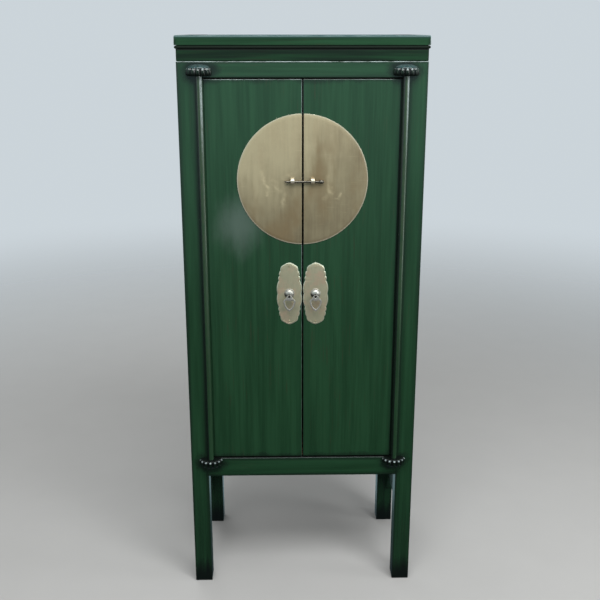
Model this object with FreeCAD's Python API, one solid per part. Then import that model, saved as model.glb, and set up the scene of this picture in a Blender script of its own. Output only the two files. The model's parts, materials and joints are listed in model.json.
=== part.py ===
import FreeCAD, Part
import math
import os

Vector = FreeCAD.Vector

# Wedding cabinet in millimetres. X runs to the right, Y to the back and Z up.
# Every piece is drawn with the front faces of the posts at Y = 0. At the end all pieces are
# moved together so that the origin lies on the floor under the middle of the whole.

# Case
BODY_WIDTH = 650.0  # across the outer faces of the posts
BODY_DEPTH = 390.0  # front face to back face of the posts
TOTAL_HEIGHT = 1600.0
POST_SIZE = 50.0
BACK_POST_WIDTH = 50.0
BACK_POST_INSET = 13.0  # outer faces of the back posts inside those of the front posts
LEG_CLEARANCE = 355.0  # floor to the underside of the bottom rails
BOTTOM_RAIL_HEIGHT = 58.0
TOP_RAIL_HEIGHT = 41.0
FRONT_RAIL_THICKNESS = 28.0
SIDE_RAIL_THICKNESS = 26.0
BACK_RAIL_THICKNESS = 26.0
RAIL_INSET = 1.5  # side and back rails behind the faces of the posts
ARRIS = 2.0  # rounding of the frame's edges

# Tenons and grooves of the frame
TENON_LENGTH = 24.0
TENON_THICKNESS = 9.0
TENON_SHOULDER = 10.0  # above and below each tenon
STUB_LENGTH = 10.0  # short tenons of cleats and aprons
TENON_FIT = 0.2  # room on each face of a tenon or tongue
TENON_END_ROOM = 1.0
PANEL_THICKNESS = 10.0
PANEL_TONGUE = 8.0  # depth of a panel's edge in its groove

# Floor, shelves and door stop
FLOOR_THICKNESS = 14.0
SHELF_THICKNESS = 16.0
SHELF_SPACING = 350.0  # from the floor board to a shelf and from shelf to shelf
SHELF_COUNT = 2
SHELF_SETBACK = 2.0  # front edge of a shelf behind the front posts
BOARD_GAP = 0.5  # round floor board and shelves
CLEAT_SIZE = 18.0
STOP_WIDTH = 20.0
STOP_HEIGHT = 14.0

# Side aprons
APRON_THICKNESS = 16.0
APRON_INSET = 3.0  # inside the outer face of the back posts
APRON_HEIGHT = 157.0
SPANDREL_REACH = 110.0
SPANDREL_DROP = 75.0
SPANDREL_TOE = 6.0

# Frieze and top
FRIEZE_HEIGHT = 31.0
FRIEZE_THICKNESS = 12.0
FRIEZE_RECESS = 1.0
FRIEZE_ROUND = 3.0  # lower edge of the face
NECK_GAP = 0.5  # between the post necks and the frieze
NECK_TENON_SIZE = 16.0
NECK_TENON_LENGTH = 14.0
TOP_THICKNESS = 33.0
TOP_OVERHANG = 3.0
TOP_FRAME_WIDTH = 70.0
TOP_ROUND = 4.0
BEAD_HEIGHT = 8.0
BEAD_SETBACK = 4.3
QUIRK_HEIGHT = 1.0  # fine groove above the bead
QUIRK_DEPTH = 5.5
TOP_PANEL_THICKNESS = 12.0
TOP_TONGUE_THICKNESS = 6.0
TOP_PANEL_GAP = 0.3

# Doors
DOOR_SEAM = 3.0
DOOR_SETBACK = 1.0
DOOR_THICKNESS = 18.0
DOOR_TOP_GAP = 3.5
DOOR_BOTTOM_GAP = 5.0
DOOR_STOP_GAP = 1.5
DOOR_ARRIS = 1.5
BATTEN_HEIGHT = 36.0
BATTEN_THICKNESS = 10.0
BATTEN_END_INSET = 20.0
BATTEN_MARGIN = 110.0  # from the door's ends to the outer battens
BATTEN_PULL_RISE = 38.0  # from the pull up to the middle batten

# Pivot poles
PIVOT_INSET = 8.0  # pole axis inside the inner face of the post
POLE_RADIUS = 8.5
POLE_FACE_GAP = 0.5  # behind the pole, to the face of the frame
POLE_NECK = 7.0
POLE_END_GAP = 0.5
STILE_RECESS = 2.0  # behind the face of the leaf
STILE_POST_GAP = 2.0
STILE_WIDTH = 17.0
STILE_TONGUE_THICKNESS = 6.0
STILE_TONGUE_DEPTH = 10.0
JOURNAL_RADIUS = 5.0
JOURNAL_LENGTH = 14.0
JOURNAL_FIT = 0.1
JOURNAL_END_ROOM = 0.5

# Carved pivot blocks
BLOCK_WIDTH = 70.0
BLOCK_PROJECTION = 32.0
BLOCK_HEIGHT = 30.0
BLOCK_LOBES = 7
LOBE_RADIUS = 7.0
LOBE_HEIGHT = 22.0
CORE_REACH = 1.0  # the core behind the lobes, past their middles
CORE_HEIGHT = 13.0
CAP_SETBACK = 4.0  # from the middles of the lobes
UPPER_BLOCK_RISE = 8.0  # above the top of the door
LOWER_BLOCK_DROP = 3.0  # below the bottom of the door
DOWEL_RADIUS = 3.0
DOWEL_LENGTH = 8.0
DOWEL_PLACES = (12.0, 32.0)  # from the inner face of the post
DOWEL_FIT = 0.1

# Brass disc across the seam
DISC_RADIUS = 174.5
DISC_TOP_MARGIN = 87.0  # from the top of the door to the rim of the disc
DISC_THICKNESS = 1.5
DISC_SEAM_INSET = 0.5
DISC_ROUND = 0.8
PRONG_RADIUS = 1.2
PRONG_LENGTH = 12.0
PRONG_RING = 150.0
PRONG_ANGLES = (-60.0, 0.0, 60.0)
PRONG_FIT = 0.1

# Lock staples and pin
STAPLE_PLACE = 27.0  # from the seam
STAPLE_FALL = 1.0  # below the middle of the disc
STAPLE_WIDTH = 10.0
STAPLE_INNER_RADIUS = 5.5
STAPLE_THICKNESS = 2.5
STAPLE_STANDOFF = 7.0  # from the disc to the middle of the bow
STAPLE_CLINCH = 14.0
STAPLE_FIT = 0.2
PIN_RADIUS = 3.0
PIN_REST_GAP = 0.3
PIN_TIP_REACH = 49.0  # left of the seam
PIN_TIP_LENGTH = 6.0
PIN_TIP_RADIUS = 0.8
KNOB_START = 43.0  # right of the seam
KNOB_LENGTH = 13.5
KNOB_RADIUS = 5.5

# Pull plates. The outline is a quarter, from the upper point down to the waist: each stretch is
# an arc through a middle point to an end point, in shares of the half width and half height.
PULL_PLATE_WIDTH = 69.0
PULL_PLATE_HEIGHT = 178.0
PULL_PLATE_THICKNESS = 1.6
PULL_PLATE_EDGE_INSET = 0.3
PULL_PLATE_DROP = 52.0  # from the rim of the disc to the top of the plate
PULL_PLATE_ARCS = (
    ((0.22, 0.975), (0.42, 0.93)),
    ((0.615, 0.88), (0.7, 0.745)),
    ((0.815, 0.66), (0.785, 0.575)),
    ((0.88, 0.5), (0.835, 0.43)),
    ((1.0, 0.2), (0.94, 0.0)),
)
TACK_SPREAD = 78.0  # above and below the middle of the plate
TACK_HEAD_RADIUS = 2.2
TACK_HEAD_HEIGHT = 1.4
TACK_SHANK_RADIUS = 0.9
TACK_LENGTH = 10.0
TACK_FIT = 0.1

# Rosettes, looped posts and drop pulls
PULL_FALL = 1.0  # below the middle of the plate
ROSETTE_RADIUS = 14.0
ROSETTE_HEIGHT = 8.0
SHANK_RADIUS = 2.0
SHANK_FIT = 0.1
LOOP_RADIUS = 4.0
LOOP_WIRE_RADIUS = 1.2
LOOP_STANDOFF = 1.0
POST_CLINCH = 14.0
POST_CLINCH_WIDTH = 3.0
POST_CLINCH_THICKNESS = 2.0
DROP_THICKNESS = 3.2
DROP_EYE_RADIUS = 3.2
DROP_HEAD_RADIUS = 6.0
DROP_WIDTH = 35.0
DROP_LENGTH = 42.0  # from the eye down to the tip
DROP_NECK_ANGLE = 5.0  # where the head passes into the flanks
# Points of the drop in shares of its half width and length
DROP_FLANK = (0.6, 0.185)
DROP_SHOULDER = (0.985, 0.37)
DROP_HIP = (0.67, 0.71)
DROP_WINDOW_CROWN = 0.27
DROP_WINDOW_CORNER = (0.7, 0.35)
DROP_WINDOW_HIP = (0.5, 0.64)
DROP_WINDOW_FOOT = 0.86

# Faces and levels that follow from the sizes above
X_AXIS = Vector(1, 0, 0)
Y_AXIS = Vector(0, 1, 0)
Z_AXIS = Vector(0, 0, 1)
QUARTER_TURN = 90.0
DIAGONAL = math.cos(math.radians(QUARTER_TURN / 2))
HALF_WIDTH = BODY_WIDTH / 2
POST_INNER = HALF_WIDTH - POST_SIZE
BACK_POST_FRONT = BODY_DEPTH - POST_SIZE
BACK_POST_OUTER = HALF_WIDTH - BACK_POST_INSET
BACK_POST_INNER = BACK_POST_OUTER - BACK_POST_WIDTH
BOTTOM_RAIL_TOP = LEG_CLEARANCE + BOTTOM_RAIL_HEIGHT
TOP_UNDERSIDE = TOTAL_HEIGHT - TOP_THICKNESS
POST_TOP = TOP_UNDERSIDE - FRIEZE_HEIGHT
NECK_INSET = FRIEZE_RECESS + FRIEZE_THICKNESS + NECK_GAP
TOP_RAIL_UNDERSIDE = POST_TOP - TOP_RAIL_HEIGHT
SIDE_OUTER = BACK_POST_OUTER - RAIL_INSET
SIDE_INNER = SIDE_OUTER - SIDE_RAIL_THICKNESS
SIDE_MIDDLE = (SIDE_OUTER + SIDE_INNER) / 2
SIDE_PANEL_INNER = SIDE_MIDDLE - PANEL_THICKNESS / 2
BACK_OUTER = BODY_DEPTH - RAIL_INSET
BACK_INNER = BACK_OUTER - BACK_RAIL_THICKNESS
BACK_MIDDLE = (BACK_OUTER + BACK_INNER) / 2
BACK_PANEL_INNER = BACK_MIDDLE - PANEL_THICKNESS / 2
BOARD_SIDE = SIDE_PANEL_INNER - BOARD_GAP
BOARD_BACK = BACK_PANEL_INNER - BOARD_GAP
APRON_OUTER = BACK_POST_OUTER - APRON_INSET
APRON_INNER = APRON_OUTER - APRON_THICKNESS
APRON_BOTTOM = LEG_CLEARANCE - APRON_HEIGHT
DOOR_BACK = DOOR_SETBACK + DOOR_THICKNESS
STOP_FACE = DOOR_BACK + DOOR_STOP_GAP
DOOR_BOTTOM = BOTTOM_RAIL_TOP + DOOR_BOTTOM_GAP
DOOR_TOP = TOP_RAIL_UNDERSIDE - DOOR_TOP_GAP
LEAF_FREE = DOOR_SEAM / 2
PIVOT_X = POST_INNER - PIVOT_INSET
PIVOT_Y = -POLE_RADIUS - POLE_FACE_GAP
STILE_OUTER = POST_INNER - STILE_POST_GAP
STILE_INNER = STILE_OUTER - STILE_WIDTH
STILE_FRONT = DOOR_SETBACK + STILE_RECESS
UPPER_BLOCK_BOTTOM = DOOR_TOP + UPPER_BLOCK_RISE
LOWER_BLOCK_TOP = DOOR_BOTTOM - LOWER_BLOCK_DROP
DISC_HEIGHT = DOOR_TOP - DISC_TOP_MARGIN - DISC_RADIUS
DISC_FRONT = DOOR_SETBACK - DISC_THICKNESS
STAPLE_Y = DISC_FRONT - STAPLE_STANDOFF
STAPLE_Z = DISC_HEIGHT - STAPLE_FALL
STAPLE_OUTER_RADIUS = STAPLE_INNER_RADIUS + STAPLE_THICKNESS
PIN_Z = STAPLE_Z - STAPLE_INNER_RADIUS + PIN_RADIUS + PIN_REST_GAP
PULL_X = LEAF_FREE + PULL_PLATE_EDGE_INSET + PULL_PLATE_WIDTH / 2
PULL_PLATE_TOP = DISC_HEIGHT - DISC_RADIUS - PULL_PLATE_DROP
PULL_PLATE_MIDDLE = PULL_PLATE_TOP - PULL_PLATE_HEIGHT / 2
PULL_Z = PULL_PLATE_MIDDLE - PULL_FALL
PULL_PLATE_FRONT = DOOR_SETBACK - PULL_PLATE_THICKNESS
ROSETTE_FRONT = PULL_PLATE_FRONT - ROSETTE_HEIGHT
LOOP_Y = ROSETTE_FRONT - LOOP_STANDOFF - LOOP_WIRE_RADIUS - LOOP_RADIUS
FLOOR_TOP = BOTTOM_RAIL_TOP + FLOOR_THICKNESS
SHELF_TOPS = tuple(FLOOR_TOP + SHELF_SPACING * (count + 1) for count in range(SHELF_COUNT))
LOWER_SHELF_TOP, UPPER_SHELF_TOP = SHELF_TOPS
BOTTOM_LEVEL = (LEG_CLEARANCE, BOTTOM_RAIL_TOP)
TOP_LEVEL = (TOP_RAIL_UNDERSIDE, POST_TOP)
RAIL_LEVELS = (BOTTOM_LEVEL, TOP_LEVEL)
ORIGIN_Y = (BODY_DEPTH + TOP_OVERHANG - BLOCK_PROJECTION) / 2


def box(x0, x1, y0, y1, z0, z1):
    """A box between two corners."""
    return Part.makeBox(x1 - x0, y1 - y0, z1 - z0, Vector(x0, y0, z0))


def edges_along(solid, axis):
    """The straight edges of a solid that run along an axis."""
    picked = []
    for edge in solid.Edges:
        run = edge.Vertexes[-1].Point - edge.Vertexes[0].Point
        if abs(run.normalize() * axis) > 0.999:
            picked.append(edge)
    return picked


def edges_near(solid, point, axis):
    """The edges along an axis whose line passes through a point."""
    picked = []
    for edge in edges_along(solid, axis):
        offset = edge.CenterOfMass - point
        across = offset - axis * (offset * axis)
        if across.Length < ARRIS / 2:
            picked.append(edge)
    return picked


def mirrored(solid):
    """The left-hand copy of a right-hand piece."""
    return solid.mirror(Vector(0, 0, 0), X_AXIS)


def arc_edge(start, middle, end):
    return Part.Arc(start, middle, end).toShape()


def line_edge(start, end):
    return Part.LineSegment(start, end).toShape()


def turned(edges, base, axis):
    """A solid of revolution from the edges of a closed half profile."""
    return Part.Face(Part.Wire(edges)).revolve(base, axis, 360)


def tenons_x(post_inner, y_middle, z0, z1, room=0.0, end_room=0.0):
    """A strip through a cross rail whose ends are its tenons, or the mortises with room."""
    reach = post_inner + TENON_LENGTH + end_room
    half = TENON_THICKNESS / 2 + room
    bottom = z0 + TENON_SHOULDER - room
    top = z1 - TENON_SHOULDER + room
    return box(-reach, reach, y_middle - half, y_middle + half, bottom, top)


def tenons_y(x_middle, z0, z1, length, room=0.0, end_room=0.0):
    """A strip through a side piece whose ends are its tenons, or the mortises with room."""
    half = TENON_THICKNESS / 2 + room
    front = POST_SIZE - length - end_room
    back = BACK_POST_FRONT + length + end_room
    return box(x_middle - half, x_middle + half, front, back, z0 - room, z1 + room)


def side_panel(room=0.0):
    """The right side panel, which stands in its bottom groove, or its grooves with room."""
    half = PANEL_THICKNESS / 2 + room
    depth = PANEL_TONGUE + room
    return box(
        SIDE_MIDDLE - half, SIDE_MIDDLE + half,
        POST_SIZE - depth, BACK_POST_FRONT + depth,
        BOTTOM_RAIL_TOP - PANEL_TONGUE, TOP_RAIL_UNDERSIDE + depth,
    )


def back_panel(room=0.0):
    """The back panel, which stands in its bottom groove, or its grooves with room."""
    half = PANEL_THICKNESS / 2 + room
    depth = PANEL_TONGUE + room
    return box(
        -BACK_POST_INNER - depth, BACK_POST_INNER + depth,
        BACK_MIDDLE - half, BACK_MIDDLE + half,
        BOTTOM_RAIL_TOP - PANEL_TONGUE, TOP_RAIL_UNDERSIDE + depth,
    )


def cross_rail(post_inner, y0, y1, z0, z1):
    """A front or back rail with a tenon at each end."""
    body = box(-post_inner, post_inner, y0, y1, z0, z1)
    body = body.makeFillet(ARRIS, edges_along(body, X_AXIS))
    return body.fuse(tenons_x(post_inner, (y0 + y1) / 2, z0, z1)).removeSplitter()


def side_rail(z0, z1):
    """A right side rail with its tenons and panel groove."""
    body = box(SIDE_INNER, SIDE_OUTER, POST_SIZE, BACK_POST_FRONT, z0, z1)
    body = body.makeFillet(ARRIS, edges_along(body, Y_AXIS))
    tenons = tenons_y(SIDE_MIDDLE, z0 + TENON_SHOULDER, z1 - TENON_SHOULDER, TENON_LENGTH)
    return body.fuse(tenons).removeSplitter().cut(side_panel(TENON_FIT))


def cleat(shelf_top, room=0.0, end_room=0.0):
    """A right shelf cleat with stub tenons, or only the tenons with room."""
    x0 = BOARD_SIDE - CLEAT_SIZE
    top = shelf_top - SHELF_THICKNESS
    bottom = top - CLEAT_SIZE
    margin = (CLEAT_SIZE - TENON_THICKNESS) / 2
    middle = (x0 + BOARD_SIDE) / 2
    stubs = tenons_y(middle, bottom + margin, top - margin, STUB_LENGTH, room, end_room)
    if room:
        return stubs
    return box(x0, BOARD_SIDE, POST_SIZE, BACK_POST_FRONT, bottom, top).fuse(stubs).removeSplitter()


def apron_stubs(room=0.0, end_room=0.0):
    """The stub tenons of a right apron."""
    middle = (APRON_INNER + APRON_OUTER) / 2
    bottom = APRON_BOTTOM + TENON_SHOULDER
    top = LEG_CLEARANCE - TENON_SHOULDER
    return tenons_y(middle, bottom, top, STUB_LENGTH, room, end_room)


def apron():
    """The board under the right side rail."""
    board = box(APRON_INNER, APRON_OUTER, POST_SIZE, BACK_POST_FRONT, APRON_BOTTOM, LEG_CLEARANCE)
    return board.fuse(apron_stubs()).removeSplitter()


def spandrel(post_face, inward):
    """A curved bracket in the corner of the right apron and a leg."""
    reach = inward * SPANDREL_REACH
    toe = inward * SPANDREL_TOE
    foot = APRON_BOTTOM - SPANDREL_DROP

    def at(y, z):
        return Vector(APRON_INNER, y, z)

    corner = at(post_face, APRON_BOTTOM)
    tip = at(post_face + reach, APRON_BOTTOM)
    tip_under = at(post_face + reach, APRON_BOTTOM - SPANDREL_TOE)
    toe_end = at(post_face + toe, foot)
    toe_back = at(post_face, foot)
    hollow = at(
        post_face + reach - DIAGONAL * (reach - toe),
        foot + DIAGONAL * (SPANDREL_DROP - SPANDREL_TOE),
    )
    wire = Part.Wire([
        line_edge(corner, tip),
        line_edge(tip, tip_under),
        arc_edge(tip_under, hollow, toe_end),
        line_edge(toe_end, toe_back),
        line_edge(toe_back, corner),
    ])
    return Part.Face(wire).extrude(X_AXIS * APRON_THICKNESS)


def post_neck(inner, outer):
    """The reduced head of a right post, behind the frieze, with its tenon, as at the front."""
    neck = box(inner, outer - NECK_INSET, NECK_INSET, POST_SIZE, POST_TOP - ARRIS * 2, TOP_UNDERSIDE)
    return neck.fuse(neck_tenon(inner, outer)).removeSplitter()


def neck_tenon(inner, outer, room=0.0, end_room=0.0):
    """The tenon of a right post that enters the top frame, as at the front."""
    x_middle = (inner + outer - NECK_INSET) / 2
    y_middle = (NECK_INSET + POST_SIZE) / 2
    half = NECK_TENON_SIZE / 2 + room
    top = TOP_UNDERSIDE + NECK_TENON_LENGTH + end_room
    return box(
        x_middle - half, x_middle + half, y_middle - half, y_middle + half,
        TOP_UNDERSIDE - ARRIS, top,
    )


def to_back(solid):
    """The same piece at the back of the case, mirrored about the middle of the depth."""
    return solid.mirror(Vector(0, BODY_DEPTH / 2, 0), Y_AXIS)


def plain_post(inner, outer):
    """A right post before its mortises, with rounded outer edges, top and foot, as at the front."""
    body = box(inner, outer, 0, POST_SIZE, 0, POST_TOP)
    edges = edges_near(body, Vector(outer, 0, 0), Z_AXIS)
    edges += edges_near(body, Vector(0, 0, POST_TOP), X_AXIS)
    edges += edges_near(body, Vector(outer, 0, POST_TOP), Y_AXIS)
    for y in (0, POST_SIZE):
        edges += edges_near(body, Vector(0, y, 0), X_AXIS)
    for x in (inner, outer):
        edges += edges_near(body, Vector(x, 0, 0), Y_AXIS)
    return body.makeFillet(ARRIS, edges).fuse(post_neck(inner, outer)).removeSplitter()


def side_sockets():
    """What the right posts give up to the side of the case."""
    sockets = [side_panel(TENON_FIT), apron_stubs(TENON_FIT, TENON_END_ROOM)]
    for z0, z1 in RAIL_LEVELS:
        bottom = z0 + TENON_SHOULDER
        top = z1 - TENON_SHOULDER
        sockets.append(tenons_y(SIDE_MIDDLE, bottom, top, TENON_LENGTH, TENON_FIT, TENON_END_ROOM))
    for shelf_top in SHELF_TOPS:
        sockets.append(cleat(shelf_top, TENON_FIT, TENON_END_ROOM))
    return sockets


def front_post():
    """The front right post with all its mortises."""
    sockets = side_sockets()
    for z0, z1 in RAIL_LEVELS:
        sockets.append(tenons_x(POST_INNER, FRONT_RAIL_THICKNESS / 2, z0, z1, TENON_FIT, TENON_END_ROOM))
    return plain_post(POST_INNER, HALF_WIDTH).cut(sockets)


def back_post():
    """The back right post with all its mortises."""
    sockets = side_sockets() + [back_panel(TENON_FIT)]
    for z0, z1 in RAIL_LEVELS:
        sockets.append(tenons_x(BACK_POST_INNER, BACK_MIDDLE, z0, z1, TENON_FIT, TENON_END_ROOM))
    return to_back(plain_post(BACK_POST_INNER, BACK_POST_OUTER)).cut(sockets)


def floor_board():
    """The floor of the case, notched round the four posts. Its front edge stops the doors."""
    board = box(-BOARD_SIDE, BOARD_SIDE, STOP_FACE, BOARD_BACK,
                BOTTOM_RAIL_TOP, FLOOR_TOP)
    return board.cut(post_notches(BOTTOM_RAIL_TOP, FLOOR_THICKNESS))


def shelf(top):
    """A fixed shelf on its cleats, notched round the back posts."""
    front = POST_SIZE + SHELF_SETBACK
    board = box(-BOARD_SIDE, BOARD_SIDE, front, BOARD_BACK, top - SHELF_THICKNESS, top)
    return board.cut(post_notches(top - SHELF_THICKNESS, SHELF_THICKNESS))


def post_notches(bottom, height):
    """Room for the four posts through a board."""
    deep = POST_SIZE + BOARD_GAP
    front = box(POST_INNER - BOARD_GAP, HALF_WIDTH, 0, deep, bottom, bottom + height)
    back = to_back(box(BACK_POST_INNER - BOARD_GAP, HALF_WIDTH, 0, deep, bottom, bottom + height))
    return [front, back, mirrored(front), mirrored(back)]


def door_stop():
    """A strip under the top rail that the doors close against."""
    reach = POST_INNER - BOARD_GAP
    bottom = TOP_RAIL_UNDERSIDE - STOP_HEIGHT
    return box(-reach, reach, STOP_FACE, STOP_FACE + STOP_WIDTH, bottom, TOP_RAIL_UNDERSIDE)


def mitred(profile, length, width):
    """A strip along X with mitred ends, from a profile whose outer face lies at Y = 0."""
    strip = profile.extrude(X_AXIS * length)
    strip.translate(X_AXIS * (-length / 2))
    height = strip.BoundBox.ZMax
    corners = (
        Vector(-length / 2, 0, 0),
        Vector(length / 2, 0, 0),
        Vector(length / 2 - width, width, 0),
        Vector(-length / 2 + width, width, 0),
    )
    plan = Part.Face(Part.makePolygon(corners + corners[:1]))
    return strip.common(plan.extrude(Z_AXIS * height))


def ring_of(profile, width, inset, bottom):
    """Four mitred strips round the case, set in from its faces, by name of side."""
    across = BODY_WIDTH - 2 * inset
    deep = BODY_DEPTH - 2 * inset
    middle = BODY_DEPTH / 2
    strips = {}
    places = (
        ("front", across, Vector(0, inset, bottom)),
        ("right", deep, Vector(HALF_WIDTH - inset, middle, bottom)),
        ("back", across, Vector(0, BODY_DEPTH - inset, bottom)),
        ("left", deep, Vector(inset - HALF_WIDTH, middle, bottom)),
    )
    for count, (side, length, place) in enumerate(places):
        strip = mitred(profile, length, width)
        strip.rotate(Vector(0, 0, 0), Z_AXIS, QUARTER_TURN * count)
        strip.translate(place)
        strips[side] = strip
    return strips


def top_profile():
    """Section of a top frame member: rounded edge, fine groove and bead."""
    def at(y, z):
        return Vector(0, y, z)

    bead_front = BEAD_SETBACK - BEAD_HEIGHT / 2
    groove_top = BEAD_HEIGHT + QUIRK_HEIGHT
    round_in = TOP_ROUND * (1 - DIAGONAL)
    wire = Part.Wire([
        line_edge(at(TOP_FRAME_WIDTH, 0), at(BEAD_SETBACK, 0)),
        arc_edge(at(BEAD_SETBACK, 0), at(bead_front, BEAD_HEIGHT / 2), at(BEAD_SETBACK, BEAD_HEIGHT)),
        line_edge(at(BEAD_SETBACK, BEAD_HEIGHT), at(QUIRK_DEPTH, BEAD_HEIGHT)),
        line_edge(at(QUIRK_DEPTH, BEAD_HEIGHT), at(QUIRK_DEPTH, groove_top)),
        line_edge(at(QUIRK_DEPTH, groove_top), at(0, groove_top)),
        line_edge(at(0, groove_top), at(0, TOP_THICKNESS - TOP_ROUND)),
        arc_edge(
            at(0, TOP_THICKNESS - TOP_ROUND),
            at(round_in, TOP_THICKNESS - round_in),
            at(TOP_ROUND, TOP_THICKNESS),
        ),
        line_edge(at(TOP_ROUND, TOP_THICKNESS), at(TOP_FRAME_WIDTH, TOP_THICKNESS)),
        line_edge(at(TOP_FRAME_WIDTH, TOP_THICKNESS), at(TOP_FRAME_WIDTH, 0)),
    ])
    return Part.Face(wire)


def top_panel(room=0.0):
    """The floating panel of the top, or with room the groove for its tongue."""
    x = HALF_WIDTH + TOP_OVERHANG - TOP_FRAME_WIDTH
    y0 = TOP_FRAME_WIDTH - TOP_OVERHANG
    y1 = BODY_DEPTH - y0
    bottom = TOTAL_HEIGHT - TOP_PANEL_THICKNESS
    depth = PANEL_TONGUE + room
    tongue = box(
        -x - depth, x + depth, y0 - depth, y1 + depth,
        bottom, bottom + TOP_TONGUE_THICKNESS + room,
    )
    if room:
        return tongue
    gap = TOP_PANEL_GAP
    field = box(-x + gap, x - gap, y0 + gap, y1 - gap, bottom, TOTAL_HEIGHT)
    return field.fuse(tongue).removeSplitter()


def top_frame():
    """The four moulded members of the top."""
    tenon = neck_tenon(POST_INNER, HALF_WIDTH, TENON_FIT, TENON_END_ROOM)
    back_tenon = to_back(neck_tenon(BACK_POST_INNER, BACK_POST_OUTER, TENON_FIT, TENON_END_ROOM))
    sockets = [top_panel(TENON_FIT), tenon, back_tenon, mirrored(tenon), mirrored(back_tenon)]
    members = ring_of(top_profile(), TOP_FRAME_WIDTH, -TOP_OVERHANG, TOP_UNDERSIDE)
    return {side: member.cut(sockets) for side, member in members.items()}


def frieze():
    """The four strips between the posts and the top, with a rounded lower edge."""
    def at(y, z):
        return Vector(0, y, z)

    round_in = FRIEZE_ROUND * (1 - DIAGONAL)
    wire = Part.Wire([
        line_edge(at(FRIEZE_ROUND, 0), at(FRIEZE_THICKNESS, 0)),
        line_edge(at(FRIEZE_THICKNESS, 0), at(FRIEZE_THICKNESS, FRIEZE_HEIGHT)),
        line_edge(at(FRIEZE_THICKNESS, FRIEZE_HEIGHT), at(0, FRIEZE_HEIGHT)),
        line_edge(at(0, FRIEZE_HEIGHT), at(0, FRIEZE_ROUND)),
        arc_edge(at(0, FRIEZE_ROUND), at(round_in, round_in), at(FRIEZE_ROUND, 0)),
    ])
    return ring_of(Part.Face(wire), FRIEZE_THICKNESS, FRIEZE_RECESS, POST_TOP)


def half_ellipse(half_width, projection, bottom, height):
    """A half-round slab against the face of the frame, round the pole axis."""
    centre = Vector(PIVOT_X, 0, bottom)
    left = centre - X_AXIS * half_width
    right = centre + X_AXIS * half_width
    if half_width > projection:
        curve = Part.Ellipse(right, centre - Y_AXIS * projection, centre)
    else:
        curve = Part.Ellipse(centre - Y_AXIS * projection, right, centre)
    first = curve.parameter(left)
    last = curve.parameter(right)
    edge = Part.ArcOfEllipse(curve, first, last).toShape()
    if edge.CenterOfMass.y > 0:
        edge = Part.ArcOfEllipse(curve, last, first).toShape()
    return Part.Face(Part.Wire([edge, line_edge(left, right)])).extrude(Z_AXIS * height)


def lobe(angle, bottom):
    """One upright rib of a carved block, round at both ends."""
    x = PIVOT_X + (BLOCK_WIDTH / 2 - LOBE_RADIUS) * math.cos(angle)
    y = -(BLOCK_PROJECTION - LOBE_RADIUS) * math.sin(angle)
    z0 = bottom + (BLOCK_HEIGHT - LOBE_HEIGHT) / 2
    low = Vector(x, y, z0)
    high = Vector(x, y, z0 + LOBE_HEIGHT)
    side = X_AXIS * LOBE_RADIUS
    rise = Z_AXIS * LOBE_RADIUS
    low_side = low + side + rise
    high_side = high + side - rise
    low_bend = low + side * DIAGONAL + rise * (1 - DIAGONAL)
    high_bend = high + side * DIAGONAL - rise * (1 - DIAGONAL)
    return turned([
        arc_edge(low, low_bend, low_side),
        line_edge(low_side, high_side),
        arc_edge(high_side, high_bend, high),
        line_edge(high, low),
    ], low, Z_AXIS)


def block_dowels(bottom, room=0.0):
    """The dowels that hold a right block to its rail, or their holes with room."""
    dowels = []
    for place in DOWEL_PLACES:
        start = Vector(POST_INNER - place, -DOWEL_LENGTH, bottom + BLOCK_HEIGHT / 2)
        length = 2 * DOWEL_LENGTH + room
        dowels.append(Part.makeCylinder(DOWEL_RADIUS + room, length, start, Y_AXIS))
    return dowels


def pivot_block(bottom):
    """A right carved block before its socket is bored."""
    ring_width = BLOCK_WIDTH / 2 - LOBE_RADIUS
    ring_depth = BLOCK_PROJECTION - LOBE_RADIUS
    core_bottom = bottom + (BLOCK_HEIGHT - CORE_HEIGHT) / 2
    core = half_ellipse(ring_width + CORE_REACH, ring_depth + CORE_REACH, core_bottom, CORE_HEIGHT)
    cap = half_ellipse(ring_width - CAP_SETBACK, ring_depth - CAP_SETBACK, bottom, BLOCK_HEIGHT)
    step = math.pi / BLOCK_LOBES
    lobes = [lobe(step * (count + 0.5), bottom) for count in range(BLOCK_LOBES)]
    body = core.fuse([cap] + lobes)
    front = box(
        PIVOT_X - BLOCK_WIDTH, PIVOT_X + BLOCK_WIDTH, -2 * BLOCK_PROJECTION, 0,
        bottom - BLOCK_HEIGHT, bottom + 2 * BLOCK_HEIGHT,
    )
    return body.common(front).fuse(block_dowels(bottom)).removeSplitter()


def journal_bore(start, direction):
    """The socket for one end of a right pole."""
    length = JOURNAL_LENGTH + JOURNAL_END_ROOM
    return Part.makeCylinder(JOURNAL_RADIUS + JOURNAL_FIT, length, start, direction)


def upper_block():
    face = Vector(PIVOT_X, PIVOT_Y, UPPER_BLOCK_BOTTOM)
    return pivot_block(UPPER_BLOCK_BOTTOM).cut(journal_bore(face, Z_AXIS))


def lower_block():
    face = Vector(PIVOT_X, PIVOT_Y, LOWER_BLOCK_TOP)
    return pivot_block(LOWER_BLOCK_TOP - BLOCK_HEIGHT).cut(journal_bore(face, -Z_AXIS))


def front_rail(z0, z1, block_bottom):
    """A front rail with holes for the dowels of the carved blocks."""
    holes = block_dowels(block_bottom, DOWEL_FIT)
    holes += [mirrored(hole) for hole in holes]
    return cross_rail(POST_INNER, 0, FRONT_RAIL_THICKNESS, z0, z1).cut(holes)


def back_rail(z0, z1):
    """A back rail with its panel groove."""
    return cross_rail(BACK_POST_INNER, BACK_INNER, BACK_OUTER, z0, z1).cut(back_panel(TENON_FIT))


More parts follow.
